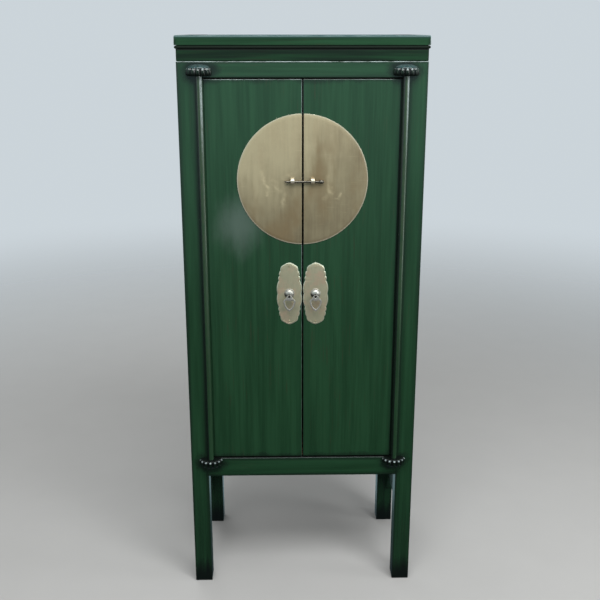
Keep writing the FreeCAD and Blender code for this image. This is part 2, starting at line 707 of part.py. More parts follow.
def stile_tongue(room=0.0):
    """The tongue that joins the right pole to its leaf, or the groove with room."""
    middle = (STILE_FRONT + DOOR_BACK) / 2
    half = STILE_TONGUE_THICKNESS / 2 + room
    inner = STILE_INNER - STILE_TONGUE_DEPTH - room
    return box(inner, STILE_OUTER, middle - half, middle + half, DOOR_BOTTOM, DOOR_TOP)


def pivot_pole():
    """The right pole with its journals, neck, stile and tongue."""
    bottom = LOWER_BLOCK_TOP + POLE_END_GAP
    top = UPPER_BLOCK_BOTTOM - POLE_END_GAP
    foot = Vector(PIVOT_X, PIVOT_Y, bottom)
    pole = Part.makeCylinder(POLE_RADIUS, top - bottom, foot, Z_AXIS)
    journal_foot = foot - Z_AXIS * JOURNAL_LENGTH
    journals = Part.makeCylinder(JOURNAL_RADIUS, top - bottom + 2 * JOURNAL_LENGTH, journal_foot, Z_AXIS)
    half = POLE_NECK / 2
    neck = box(PIVOT_X - half, PIVOT_X + half, PIVOT_Y, DOOR_BACK, DOOR_BOTTOM, DOOR_TOP)
    stile = box(STILE_INNER, STILE_OUTER, STILE_FRONT, DOOR_BACK, DOOR_BOTTOM, DOOR_TOP)
    return pole.fuse([journals, neck, stile, stile_tongue()]).removeSplitter()


def staple_legs(room=0.0):
    """The two legs of the right staple where they pass through disc and leaf."""
    half = STAPLE_WIDTH / 2 + room
    legs = []
    for sign in (-1, 1):
        near = STAPLE_Z + sign * (STAPLE_INNER_RADIUS - room)
        far = STAPLE_Z + sign * (STAPLE_OUTER_RADIUS + room)
        z0, z1 = sorted((near, far))
        legs.append(box(STAPLE_PLACE - half, STAPLE_PLACE + half, STAPLE_Y, DOOR_BACK, z0, z1))
    return legs


def lock_staple():
    """The right staple: a broad bow, two legs and their clinched ends."""
    start = Vector(STAPLE_PLACE - STAPLE_WIDTH / 2, STAPLE_Y, STAPLE_Z)
    ring = Part.makeCylinder(STAPLE_OUTER_RADIUS, STAPLE_WIDTH, start, X_AXIS)
    ring = ring.cut(Part.makeCylinder(STAPLE_INNER_RADIUS, STAPLE_WIDTH, start, X_AXIS))
    reach = 2 * STAPLE_OUTER_RADIUS
    front = box(start.x, start.x + STAPLE_WIDTH, STAPLE_Y - reach, STAPLE_Y,
                STAPLE_Z - reach, STAPLE_Z + reach)
    pieces = staple_legs()
    for sign in (-1, 1):
        z0, z1 = sorted((
            STAPLE_Z + sign * STAPLE_INNER_RADIUS,
            STAPLE_Z + sign * (STAPLE_INNER_RADIUS + STAPLE_CLINCH),
        ))
        pieces.append(box(start.x, start.x + STAPLE_WIDTH,
                          DOOR_BACK, DOOR_BACK + STAPLE_THICKNESS, z0, z1))
    return ring.common(front).fuse(pieces).removeSplitter()


def lock_pin():
    """The sliding pin, pointed at the left and with a knob at the right."""
    def at(x, radius):
        return Vector(x, STAPLE_Y, PIN_Z + radius)

    tip = -PIN_TIP_REACH
    shoulder = tip + PIN_TIP_LENGTH
    knob_end = KNOB_START + KNOB_LENGTH
    knob_middle = KNOB_START + KNOB_LENGTH / 2
    return turned([
        line_edge(at(tip, 0), at(tip, PIN_TIP_RADIUS)),
        line_edge(at(tip, PIN_TIP_RADIUS), at(shoulder, PIN_RADIUS)),
        line_edge(at(shoulder, PIN_RADIUS), at(KNOB_START, PIN_RADIUS)),
        arc_edge(at(KNOB_START, PIN_RADIUS), at(knob_middle, KNOB_RADIUS), at(knob_end, PIN_RADIUS)),
        line_edge(at(knob_end, PIN_RADIUS), at(knob_end, 0)),
        line_edge(at(knob_end, 0), at(tip, 0)),
    ], at(tip, 0), X_AXIS)


def prongs(room=0.0):
    """The prongs behind the right half disc, or their holes with room."""
    pins = []
    for angle in PRONG_ANGLES:
        x = PRONG_RING * math.cos(math.radians(angle))
        z = DISC_HEIGHT + PRONG_RING * math.sin(math.radians(angle))
        start = Vector(x, DISC_FRONT + DISC_THICKNESS / 2, z)
        length = DISC_THICKNESS / 2 + PRONG_LENGTH + room
        pins.append(Part.makeCylinder(PRONG_RADIUS + room, length, start, Y_AXIS))
    return pins


def half_disc():
    """The right half of the brass disc, with its prongs and the slots for the staple."""
    centre = Vector(0, DISC_FRONT, DISC_HEIGHT)
    disc = Part.makeCylinder(DISC_RADIUS, DISC_THICKNESS, centre, Y_AXIS)
    edge = LEAF_FREE + DISC_SEAM_INSET
    right = box(
        edge, DISC_RADIUS, DISC_FRONT, DOOR_SETBACK,
        DISC_HEIGHT - DISC_RADIUS, DISC_HEIGHT + DISC_RADIUS,
    )
    half = disc.common(right)
    rim = [e for e in half.Edges if abs(e.CenterOfMass.y - DISC_FRONT) < DISC_ROUND / 10]
    half = half.makeFillet(DISC_ROUND, rim)
    return half.fuse(prongs()).removeSplitter().cut(staple_legs(STAPLE_FIT))


def pull_plate_wire():
    """The closed outline of the right pull plate, on its back face."""
    half_width = PULL_PLATE_WIDTH / 2
    half_height = PULL_PLATE_HEIGHT / 2

    def at(point, x_sign, z_sign):
        x = PULL_X + x_sign * point[0] * half_width
        z = PULL_PLATE_MIDDLE + z_sign * point[1] * half_height
        return Vector(x, DOOR_SETBACK, z)

    edges = []
    for x_sign, z_sign in ((1, 1), (1, -1), (-1, -1), (-1, 1)):
        start = (0.0, 1.0)
        for middle, end in PULL_PLATE_ARCS:
            points = [at(point, x_sign, z_sign) for point in (start, middle, end)]
            edges.append(arc_edge(*points))
            start = end
    return Part.Wire(Part.__sortEdges__(edges))


def tacks(room=0.0):
    """Two small round-headed tacks in the right pull plate, or their holes with room."""
    pieces = []
    for sign in (-1, 1):
        middle = Vector(PULL_X, PULL_PLATE_FRONT, PULL_PLATE_MIDDLE + sign * TACK_SPREAD)
        end = middle + Y_AXIS * (TACK_LENGTH + room)
        neck = Z_AXIS * (TACK_SHANK_RADIUS + room)
        rim = middle + Z_AXIS * TACK_HEAD_RADIUS
        crown = middle - Y_AXIS * TACK_HEAD_HEIGHT
        if room:
            pieces.append(Part.makeCylinder(neck.Length, TACK_LENGTH + room, middle, Y_AXIS))
            continue
        bend = middle + (rim - middle) * DIAGONAL + (crown - middle) * DIAGONAL
        pieces.append(turned([
            arc_edge(crown, bend, rim),
            line_edge(rim, middle + neck),
            line_edge(middle + neck, end + neck),
            line_edge(end + neck, end),
            line_edge(end, crown),
        ], middle, Y_AXIS))
    return pieces


def shank_bore():
    """The hole for the right pull post through rosette, plate and leaf."""
    start = Vector(PULL_X, ROSETTE_FRONT - LOOP_STANDOFF, PULL_Z)
    length = DOOR_BACK - start.y
    return Part.makeCylinder(SHANK_RADIUS + SHANK_FIT, length, start, Y_AXIS)


def pull_plate():
    """The right cartouche plate."""
    plate = Part.Face(pull_plate_wire()).extrude(Y_AXIS * -PULL_PLATE_THICKNESS)
    return plate.cut([shank_bore()] + tacks(TACK_FIT))


def rosette():
    """The domed rosette under the right pull post."""
    base = Vector(PULL_X, PULL_PLATE_FRONT, PULL_Z)
    crown = base - Y_AXIS * ROSETTE_HEIGHT
    rim = base + Z_AXIS * ROSETTE_RADIUS
    ball = (ROSETTE_RADIUS ** 2 + ROSETTE_HEIGHT ** 2) / (2 * ROSETTE_HEIGHT)
    half_angle = math.asin(ROSETTE_RADIUS / ball) / 2
    bend = crown + Z_AXIS * (ball * math.sin(half_angle)) + Y_AXIS * (ball * (1 - math.cos(half_angle)))
    dome = turned([
        arc_edge(crown, bend, rim),
        line_edge(rim, base),
        line_edge(base, crown),
    ], base, Y_AXIS)
    return dome.cut(shank_bore())


def pull_post():
    """The right looped post with its shank and clinched end behind the leaf."""
    loop = Part.makeTorus(LOOP_RADIUS, LOOP_WIRE_RADIUS, Vector(PULL_X, LOOP_Y, PULL_Z), X_AXIS)
    start = Vector(PULL_X, LOOP_Y + LOOP_RADIUS, PULL_Z)
    shank = Part.makeCylinder(SHANK_RADIUS, DOOR_BACK - start.y, start, Y_AXIS)
    half = POST_CLINCH_WIDTH / 2
    clinch = box(
        PULL_X - half, PULL_X + half, DOOR_BACK, DOOR_BACK + POST_CLINCH_THICKNESS,
        PULL_Z - POST_CLINCH, PULL_Z + POST_CLINCH,
    )
    return loop.fuse([shank, clinch]).removeSplitter()


def drop_pull():
    """The right drop pull, hanging from the lowest point of its loop."""
    eye_z = PULL_Z - LOOP_RADIUS
    face = LOOP_Y - DROP_THICKNESS / 2
    half = DROP_WIDTH / 2

    def at(point, sign=1):
        return Vector(PULL_X + sign * point[0] * half, face, eye_z - point[1] * DROP_LENGTH)

    def head(angle, sign=1):
        turn = math.radians(angle)
        x = PULL_X + sign * DROP_HEAD_RADIUS * math.cos(turn)
        return Vector(x, face, eye_z + DROP_HEAD_RADIUS * math.sin(turn))

    neck = DROP_NECK_ANGLE
    tip = at((0, 1))
    outline = [arc_edge(head(neck), head(QUARTER_TURN), head(neck, -1))]
    foot = at((0, DROP_WINDOW_FOOT))
    crown = at((0, DROP_WINDOW_CROWN))
    window = [arc_edge(at(DROP_WINDOW_CORNER), crown, at(DROP_WINDOW_CORNER, -1))]
    for sign in (1, -1):
        outline.append(arc_edge(head(neck, sign), at(DROP_FLANK, sign), at(DROP_SHOULDER, sign)))
        outline.append(arc_edge(at(DROP_SHOULDER, sign), at(DROP_HIP, sign), tip))
        window.append(arc_edge(at(DROP_WINDOW_CORNER, sign), at(DROP_WINDOW_HIP, sign), foot))
    thickness = Y_AXIS * DROP_THICKNESS
    drop = Part.Face(Part.Wire(Part.__sortEdges__(outline))).extrude(thickness)
    hole = Part.Face(Part.Wire(Part.__sortEdges__(window))).extrude(thickness)
    eye = Part.makeCylinder(DROP_EYE_RADIUS, DROP_THICKNESS, Vector(PULL_X, face, eye_z), Y_AXIS)
    return drop.cut([hole, eye])


def door_leaf():
    """The right door leaf with its groove, slots and holes."""
    leaf = box(LEAF_FREE, STILE_INNER, DOOR_SETBACK, DOOR_BACK, DOOR_BOTTOM, DOOR_TOP)
    leaf = leaf.makeFillet(DOOR_ARRIS, leaf.Edges)
    cuts = [stile_tongue(TENON_FIT), shank_bore()]
    cuts += staple_legs(STAPLE_FIT) + prongs(PRONG_FIT) + tacks(TACK_FIT)
    return leaf.cut(cuts)


def door_battens():
    """The battens across the back of the right leaf."""
    middles = (DOOR_BOTTOM + BATTEN_MARGIN, PULL_Z + BATTEN_PULL_RISE, DOOR_TOP - BATTEN_MARGIN)
    battens = []
    for middle in middles:
        batten = box(
            LEAF_FREE + BATTEN_END_INSET, STILE_INNER - BATTEN_END_INSET,
            DOOR_BACK, DOOR_BACK + BATTEN_THICKNESS,
            middle - BATTEN_HEIGHT / 2, middle + BATTEN_HEIGHT / 2,
        )
        battens.append(batten.makeChamfer(ARRIS, edges_near(
            batten, Vector(0, DOOR_BACK + BATTEN_THICKNESS, middle + BATTEN_HEIGHT / 2), X_AXIS)))
    return Part.makeCompound(battens)


def single_pieces():
    """The pieces that reach across the middle of the case."""
    cleats = []
    for shelf_top in SHELF_TOPS:
        right = cleat(shelf_top)
        cleats += [right, mirrored(right)]
    pieces = {
        "front_top_rail": front_rail(*TOP_LEVEL, UPPER_BLOCK_BOTTOM),
        "front_bottom_rail": front_rail(*BOTTOM_LEVEL, LOWER_BLOCK_TOP - BLOCK_HEIGHT),
        "back_top_rail": back_rail(*TOP_LEVEL),
        "back_bottom_rail": back_rail(*BOTTOM_LEVEL),
        "back_panel": back_panel(),
        "floor_board": floor_board(),
        "lower_shelf": shelf(LOWER_SHELF_TOP),
        "upper_shelf": shelf(UPPER_SHELF_TOP),
        "shelf_cleats": Part.makeCompound(cleats),
        "top_door_stop": door_stop(),
        "top_panel": top_panel(),
        "lock_pin": lock_pin(),
    }
    for side, member in top_frame().items():
        pieces[side + "_top_frame"] = member
    for side, strip in frieze().items():
        pieces[side + "_frieze"] = strip
    return pieces


def right_pieces():
    """The right-hand pieces, each of which has a mirrored partner, by name without the side."""
    return {
        "{}_front_post": front_post(),
        "{}_back_post": back_post(),
        "{}_top_rail": side_rail(*TOP_LEVEL),
        "{}_bottom_rail": side_rail(*BOTTOM_LEVEL),
        "{}_side_panel": side_panel(),
        "{}_apron": apron(),
        "{}_front_spandrel": spandrel(POST_SIZE, 1),
        "{}_back_spandrel": spandrel(BACK_POST_FRONT, -1),
        "{}_upper_block": upper_block(),
        "{}_lower_block": lower_block(),
        "{}_door_leaf": door_leaf(),
        "{}_pivot_pole": pivot_pole(),
        "{}_door_battens": door_battens(),
        "{}_half_disc": half_disc(),
        "{}_lock_staple": lock_staple(),
        "{}_pull_plate": pull_plate(),
        "{}_plate_tacks": Part.makeCompound(tacks()),
        "{}_rosette": rosette(),
        "{}_pull_post": pull_post(),
        "{}_drop_pull": drop_pull(),
    }


def main():
    pieces = single_pieces()
    for name, piece in right_pieces().items():
        pieces[name.format("right")] = piece
        pieces[name.format("left")] = mirrored(piece)
    os.makedirs("parts", exist_ok=True)
    for name, piece in pieces.items():
        placed = piece.copy()
        placed.translate(Y_AXIS * -ORIGIN_Y)
        placed.exportStep(os.path.join("parts", name + ".step"))


main()
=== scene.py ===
"""Lacquer, carving and brass fittings of a tall wedding cabinet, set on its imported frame."""

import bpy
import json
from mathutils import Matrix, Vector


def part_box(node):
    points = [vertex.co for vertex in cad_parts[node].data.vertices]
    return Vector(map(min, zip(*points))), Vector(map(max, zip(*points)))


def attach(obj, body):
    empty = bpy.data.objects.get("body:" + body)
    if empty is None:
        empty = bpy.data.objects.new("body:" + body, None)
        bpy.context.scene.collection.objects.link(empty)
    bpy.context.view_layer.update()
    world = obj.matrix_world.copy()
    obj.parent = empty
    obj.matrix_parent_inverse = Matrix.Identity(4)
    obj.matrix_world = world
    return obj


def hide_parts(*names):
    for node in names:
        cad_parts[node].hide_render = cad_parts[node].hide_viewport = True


bl_info = {
    "name": "Wedding Cabinet",
    "version": (1, 0, 0),
    "blender": (4, 5, 0),
    "location": "3D View > Sidebar > Cabinet",
    "description": "Lacquer, carving and brass fittings of a tall wedding cabinet",
    "category": "Object",
}

import functools
import json
import math

import bmesh
import bpy
from bpy.props import FloatProperty, FloatVectorProperty, IntProperty, PointerProperty
from mathutils import Matrix, Vector

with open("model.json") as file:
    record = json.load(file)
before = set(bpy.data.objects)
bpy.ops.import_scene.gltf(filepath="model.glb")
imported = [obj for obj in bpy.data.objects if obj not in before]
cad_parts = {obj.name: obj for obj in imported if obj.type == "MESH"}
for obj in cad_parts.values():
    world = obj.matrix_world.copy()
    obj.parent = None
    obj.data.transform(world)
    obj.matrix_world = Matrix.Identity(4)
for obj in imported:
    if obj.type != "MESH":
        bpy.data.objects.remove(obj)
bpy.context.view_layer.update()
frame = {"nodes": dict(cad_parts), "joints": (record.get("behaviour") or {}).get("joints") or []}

SIDES = ("left", "right")
ENDS = ("front", "back")
FACE_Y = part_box("front_top_rail")[0].y
POST_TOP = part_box("front_top_rail")[1].z
LEAF_FRONT, LEAF_BACK = (corner.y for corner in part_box("right_door_leaf"))
PIVOT = next(Vector(j["pos_m"]) for j in frame["joints"] if j["child"] == "right_door")
UPPER_BLOCK, LOWER_BLOCK = (
    sum(corner.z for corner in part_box(f"right_{row}_block")) / 2 for row in ("upper", "lower"))
DISC_LOW, DISC_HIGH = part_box("right_half_disc")
DISC_MIDDLE = Vector((0.0, DISC_LOW.y, (DISC_LOW.z + DISC_HIGH.z) / 2))
DISC_RADIUS = (DISC_HIGH.z - DISC_LOW.z) / 2

# How fine the grain is along x, y and z in boards that stand, lie across and run inwards.
UPRIGHT = (70.0, 70.0, 2.6)
ACROSS = (2.6, 70.0, 70.0)
INWARD = (70.0, 2.6, 70.0)

# Rub marks on the round plate: two ends as seen from its middle, a width and a strength.
DISC_RUBS = (
    ((-0.111, 0.023), (-0.093, -0.018), 0.0075, 0.85),
    ((-0.093, -0.018), (-0.097, -0.041), 0.0055, 0.70),
    ((-0.079, 0.001), (-0.060, -0.032), 0.0050, 0.55),
    ((-0.025, 0.017), (-0.052, 0.006), 0.0065, 0.70),
    ((-0.046, -0.036), (-0.054, -0.071), 0.0055, 0.85),
    ((0.071, 0.012), (0.075, -0.036), 0.0070, 0.60),
    ((0.073, -0.036), (0.058, -0.050), 0.0060, 0.60),
    ((0.087, -0.050), (0.098, -0.051), 0.0040, 0.75),
    ((0.098, -0.051), (0.106, -0.034), 0.0040, 0.85),
)
# Colour of painted shade on the brass.
SHADE_TINT = (0.008, 0.007, 0.006)


def tint_prop(name, description, default):
    return FloatVectorProperty(
        name=name, description=description, subtype="COLOR", default=default, min=0.0, max=1.0)


def share_prop(name, description, default, most=1.0):
    return FloatProperty(
        name=name, description=description, subtype="FACTOR", default=default, min=0.0, max=most)


def length_prop(name, description, default, least, most):
    return FloatProperty(
        name=name, description=description, subtype="DISTANCE", unit="LENGTH", default=default, min=least,
        max=most)


def power_prop(name, description, default):
    return FloatProperty(
        name=name, description=description, subtype="POWER", unit="POWER", default=default, min=0.0,
        max=500.0)


def angle_prop(name, description, default):
    return FloatProperty(
        name=name, description=description, subtype="ANGLE", unit="ROTATION", default=default)


class CabinetLacquer(bpy.types.PropertyGroup):
    """Colours and gloss of the lacquered wood."""

    green: tint_prop("Green", "Body colour of the lacquer", (0.0085, 0.039, 0.0145))
    light_green: tint_prop(
        "Light green", "Colour of the paler streaks along the grain", (0.0150, 0.060, 0.0245))
    # Also the colour of painted shade round the pivots, beside the poles, in gaps and seams and on the carved
    # blocks, besides the real glaze.
    glaze: tint_prop(
        "Glaze", "Black-brown glaze in corners, along edges and round the carving", (0.004, 0.006, 0.005))
    fleck: tint_prop("Fleck", "Brown flecks of the wood showing through", (0.030, 0.034, 0.016))
    # Pale arrises: partly bare wood, partly a painted highlight of the sky on the rounded edges; also the
    # painted highlights on the carved crests and on the poles.
    worn: tint_prop("Worn edge", "Bare, rubbed wood on the arrises", (0.36, 0.44, 0.44))
    # The bead is painted this dark as painted shade under the edge of the top.
    bead: tint_prop("Bead", "Dull dark bead under the edge of the top", (0.003, 0.007, 0.004))
    # Pale sky colour: a painted reflection of the sky along the top edge and on the carved caps.
    bleached: tint_prop(
        "Bleached lacquer", "Lacquer gone pale along the top edge and on the carved caps", (0.16, 0.33, 0.36))
    dust: tint_prop("Dust", "Dust on the faces that lie upwards", (0.016, 0.030, 0.032))
    # A painted reflection: a soft pale patch beside the disc.
    haze: tint_prop("Haze", "Bloom of the lacquer, in a soft patch beside the disc", (0.072, 0.112, 0.088))
    # Khaki on the pole's front: thin lacquer, partly a painted highlight on its lit side.
    khaki: tint_prop("Khaki", "Thin lacquer on the rubbed side of the poles", (0.044, 0.066, 0.034))
    roughness: share_prop("Roughness", "Roughness of the lacquer", 0.26)
    coat: share_prop("Coat", "Weight of the clear top coat", 0.45)


class CabinetWood(bpy.types.PropertyGroup):
    """Colours of the plain wood inside."""

    pale: tint_prop("Pale wood", "Early wood between the rings", (0.30, 0.19, 0.105))
    dark: tint_prop("Dark wood", "Late wood of the rings", (0.17, 0.092, 0.045))
    # Near-black: painted shade on the strip behind the top rail, seen in the gap above the doors.
    stain: tint_prop("Stain", "Dark stain of the strip behind the top rail", (0.012, 0.011, 0.009))


class CabinetBrass(bpy.types.PropertyGroup):
    """Colours of the metal fittings."""

    bright: tint_prop("Bright brass", "Rubbed brass", (0.64, 0.535, 0.335))
    tarnish: tint_prop("Tarnish", "Dull brass between the rubbed patches", (0.25, 0.20, 0.12))
    plate: tint_prop("Plate brass", "Greyer brass of the pull plates", (0.54, 0.505, 0.345))
    # The disc's rim colour: polish and a painted highlight.
    disc_rim: tint_prop("Disc rim", "Rubbed rim of the round plate", (0.70, 0.63, 0.47))
    brown: tint_prop("Brown", "Brown blotches of the round plate", (0.31, 0.215, 0.112))
    # The plates' rim colour: polish and a painted highlight.
    plate_rim: tint_prop("Plate rim", "Pale rim of the pull plates", (0.62, 0.66, 0.53))
    blush: tint_prop("Blush", "Coppery patches of the pull plates", (0.60, 0.44, 0.31))
    silvery: tint_prop("Silvery brass", "Pale metal of staples, rosettes and drops", (0.60, 0.575, 0.52))
    dark: tint_prop("Dark brass", "Handled metal of the lock pin", (0.085, 0.076, 0.062))


class CabinetCarving(bpy.types.PropertyGroup):
    """Shape of the carved pivot blocks."""

    lobes: IntProperty(
        name="Lobes", description="Ribs across the front of a block", default=7, min=3, max=15)
    depth: share_prop("Groove depth", "Depth of the grooves as a share of the block's reach", 0.15, 0.4)


class CabinetBrasswork(bpy.types.PropertyGroup):
    """Shape of the brass fittings."""

    disc_wave: length_prop("Disc wave", "Height of the hand-beaten waves of the disc", 0.0008, 0.0, 0.003)
    disc_rim: length_prop("Disc rim", "Width of the rounded rim of the disc", 0.0008, 0.0001, 0.001)
    plate_rim: length_prop("Plate rim", "Width of the sloping rim of a pull plate", 0.0026, 0.0005, 0.004)
    line: length_prop(
        "Engraved line", "Half width of the engraved line inside the plate's rim", 0.0005, 0.0001, 0.002)
    softness: length_prop("Softness", "Rounding of the edges of drops and staples", 0.0010, 0.0001, 0.0015)


class CabinetStage(bpy.types.PropertyGroup):
    """Floor, light and camera."""

    floor: tint_prop("Floor", "Colour of the floor", (0.50, 0.50, 0.49))
    backdrop: tint_prop("Backdrop", "Pale surroundings, as the camera sees them", (0.60, 0.66, 0.70))
    gloss: tint_prop("Gloss", "Colour of the sky that gloss mirrors", (0.62, 0.92, 1.0))
    ambient: FloatProperty(
        name="Ambient", description="Strength of the light from all round", default=0.36, min=0.0, max=2.0)
    sky: power_prop("Sky light", "Wide soft light overhead and in front", 88.0)
    key: power_prop("Key light", "Soft light at the right", 22.0)
    fill: power_prop("Fill light", "Soft light at the left", 7.0)
    back: power_prop("Back light", "Soft light behind the cabinet", 20.0)
    strip: power_prop("Strip light", "Tall light at the right that draws lines on the poles", 10.0)
    camera_place: FloatVectorProperty(
        name="Camera place", description="Where the camera stands", subtype="TRANSLATION", unit="LENGTH",
        default=(-0.0520, -2.5217, 1.612))
    camera_down: angle_prop("Camera down", "How far the camera looks down", 0.2966)
    camera_right: angle_prop("Camera right", "How far the camera looks to the right", 0.0193)
    camera_lens: FloatProperty(
        name="Lens", description="Focal length in millimetres on a 36 mm sensor", default=52.95, min=10.0,
        max=200.0)


def colour(tint):
    return (*tint, 1.0)


def shaded(tint, share):
    return [share * channel for channel in tint]


def join(value, socket):
    """Leads a wire to a socket, or sets the socket to a plain value."""
    if isinstance(value, Wire):
        socket.id_data.links.new(value.socket, socket)
    else:
        socket.default_value = value


def new_node(tree, kind, inputs=None, **settings):
    made = tree.nodes.new(kind)
    for key, value in settings.items():
        setattr(made, key, value)
    for key, value in (inputs or {}).items():
        join(value, made.inputs[key])
    return made


def source(tree, kind, output):
    """A wire from a new node that needs no inputs."""
    return Wire(new_node(tree, kind).outputs[output])


def blend(tree, share, first, second):
    """A share of the second colour over the first, each a wire or a plain red, green and blue."""
    first, second = (tint if isinstance(tint, Wire) else colour(tint) for tint in (first, second))
    return Wire(new_node(tree, "ShaderNodeMix", {0: share, 6: first, 7: second}, data_type="RGBA").outputs[2])


def scaled(vector, factor):
    """A vector times a number, of which one or both are wires."""
    wire = vector if isinstance(vector, Wire) else factor
    return wire.node("ShaderNodeVectorMath", {0: vector, "Scale": factor}, operation="SCALE")


class Wire:
    """A value in a node tree, with short ways to reckon on from it."""

    def __init__(self, socket):
        self.socket = socket

    def node(self, kind, inputs=None, output=0, **settings):
        """A wire from a new node in the same tree."""
        return Wire(new_node(self.socket.id_data, kind, inputs, **settings).outputs[output])

    def math(self, operation, *others, output=0):
        """Reckons with vectors or with numbers, whichever the wire holds."""
        kind = "ShaderNodeVectorMath" if self.socket.type == "VECTOR" else "ShaderNodeMath"
        return self.node(kind, dict(enumerate((self, *others))), output, operation=operation)

    __add__ = functools.partialmethod(math, "ADD")
    __sub__ = functools.partialmethod(math, "SUBTRACT")
    __mul__ = functools.partialmethod(math, "MULTIPLY")
    __truediv__ = functools.partialmethod(math, "DIVIDE")
    __pow__ = functools.partialmethod(math, "POWER")
    __abs__ = functools.partialmethod(math, "ABSOLUTE")

    def __rsub__(self, number):
        return self.node("ShaderNodeMath", {0: number, 1: self}, operation="SUBTRACT")

    def most(self, *others):
        """The largest of this and other values."""
        wire = self
        for other in others:
            wire = wire.math("MAXIMUM", other)
        return wire

    def length(self):
        return self.math("LENGTH", output="Value")

    def along(self, way):
        """How far a vector reaches along a way."""
        return self.math("DOT_PRODUCT", way, output="Value")

    def axes(self):
        outputs = new_node(self.socket.id_data, "ShaderNodeSeparateXYZ", {0: self}).outputs
        return [Wire(socket) for socket in outputs]

    def ramp(self, start, stop, first=0.0, last=1.0, kind="SMOOTHSTEP"):
        """A step of a value from one level to another, soft unless another kind is named."""
        return self.node("ShaderNodeMapRange", {
            "Value": self, "From Min": start, "From Max": stop, "To Min": first, "To Max": last,
        }, "Result", interpolation_type=kind)

    def noise(self, scale, detail=3.0, roughness=0.55):
        return self.node("ShaderNodeTexNoise", {
            "Vector": self, "Scale": scale, "Detail": detail, "Roughness": roughness}, "Fac")

    def mix(self, first, second):
        """A blend of two colours, with this as the share of the second one."""
        return blend(self.socket.id_data, self, first, second)


class Finish:
    """A new material with one Principled shader, over the coordinates of its piece."""

    def __init__(self, name):
        self.material = bpy.data.materials.new(name)
        self.material.use_nodes = True
        self.tree = self.material.node_tree
        self.tree.nodes.clear()
        self.shader = new_node(self.tree, "ShaderNodeBsdfPrincipled")
        new_node(self.tree, "ShaderNodeOutputMaterial", {"Surface": Wire(self.shader.outputs["BSDF"])})
        self.point = source(self.tree, "ShaderNodeTexCoord", "Object")

    def give(self, **sockets):
        """Sets or joins the shader's sockets, named with an underscore for each space."""
        for key, value in sockets.items():
            join(value, self.shader.inputs[key.replace("_", " ")])

    def bump(self, height, strength, distance):
        self.give(Normal=height.node("ShaderNodeBump", {
            "Height": height, "Strength": strength, "Distance": distance}, "Normal"))


def make_group(name, build, inputs, outputs):
    """A shader group with its sockets, and between them what a function builds."""
    tree = bpy.data.node_groups.new(name, "ShaderNodeTree")
    for label in inputs:
        kind = "NodeSocketVector" if label in ("Point", "Low", "High", "Stretch") else "NodeSocketFloat"
        tree.interface.new_socket(name=label, in_out="INPUT", socket_type=kind)
    for label in outputs:
        tree.interface.new_socket(name=label, in_out="OUTPUT", socket_type="NodeSocketFloat")
    entry = new_node(tree, "NodeGroupInput").outputs
    made = build(*(Wire(entry[label]) for label in inputs))
    new_node(tree, "NodeGroupOutput", dict(zip(outputs, made)))
    return tree


def shader_group(inputs, outputs):
    """Turns a function of wires into a shader group of its name, made at its first use."""
    def turn(build):
        name = build.__name__.replace("_", " ").capitalize()

        @functools.wraps(build)
        def use(point, *values):
            tree = bpy.data.node_groups.get(name) or make_group(name, build, inputs, outputs)
            made = new_node(point.socket.id_data, "ShaderNodeGroup", dict(zip(inputs, (point, *values))),
                            node_tree=tree)
            return [Wire(socket) for socket in made.outputs]
        return use
    return turn


@shader_group(("Point", "Low", "High"), ("Distance",))
def arris_distance(point, low, high):
    """Distance from a point on a boxy piece to the nearest edge of its box."""
    x, y, z = (point - low).math("MINIMUM", high - point).axes()
    return [x.math("MINIMUM", y).most(x.most(y).math("MINIMUM", z))]


@shader_group(("Point", "Distance", "Rubbed", "Rim", "Fade", "Smear", "Stretch"), ("Dark", "Worn"))
def antique_glaze(point, distance, rubbed_and_lit, rim, fade, smear, stretch):
    """Dark glaze left along edges and wiped in smears, and pale arrises, partly bare wood and partly a
    painted highlight.
    """
    fine = point.noise(70.0, 4.0)
    broad = (point * stretch).noise(0.35, 4.0, 0.6)
    near = (distance + (fine - 0.5) * rim * 2.0).ramp(0.0, rim, 1.0, 0.0)
    wide = (distance + (broad - 0.45) * fade * 2.0).ramp(0.0, fade, 0.62, 0.0)
    dark = (near * 0.72).most(wide, broad.ramp(0.40, 0.62) * smear)
    return dark, rubbed_and_lit.ramp(0.0006, 0.0021, 1.0, 0.0) * point.noise(26.0, 4.0).ramp(0.30, 0.60)


@shader_group(("Point",), ("Shade",))
def pivot_shade(point):
    """Painted shade, with some dark glaze, round the carved blocks and beside the poles."""
    x, _, z = point.axes()
    aside = (abs(x) - PIVOT.x) / 0.046
    cloud = point.noise(30.0, 4.0)
    offset = x - x.math("SIGN") * PIVOT.x
    # Painted shade in a band beside each pole, from the lower block upwards.
    shade = (offset.ramp(-0.0150, -0.0095, 0.0, 0.95) * offset.ramp(0.004, 0.009, 1.0, 0.10)
             * offset.ramp(0.012, 0.022, 1.0, 0.0) * z.ramp(LOWER_BLOCK - 0.04, LOWER_BLOCK + 0.02)
             * cloud.ramp(0.25, 0.6, 0.55, 1.0))
    for level in (UPPER_BLOCK, LOWER_BLOCK):
        reach = (aside ** 2.0 + ((z - level) / 0.032) ** 2.0).math("SQRT") + (cloud - 0.5)
        shade = shade.most(reach.ramp(0.45, 1.35, 0.9, 0.0))
    return [shade]


@shader_group(("Point", "Stretch"), ("Tone", "Fleck", "Height"))
def lacquer_grain(point, stretch):
    """Streaks along the grain under the lacquer, with brown flecks and a slightly uneven surface."""
    along = point * stretch
    tone = along.noise(1.0, 5.0, 0.62)
    fleck = scaled(along, 3.4).noise(1.0).ramp(0.56, 0.72) * point.noise(9.0, 2.0).ramp(0.42, 0.66)
    return tone.ramp(0.30, 0.72), fleck, tone * 0.5 + point.noise(38.0, 2.0)


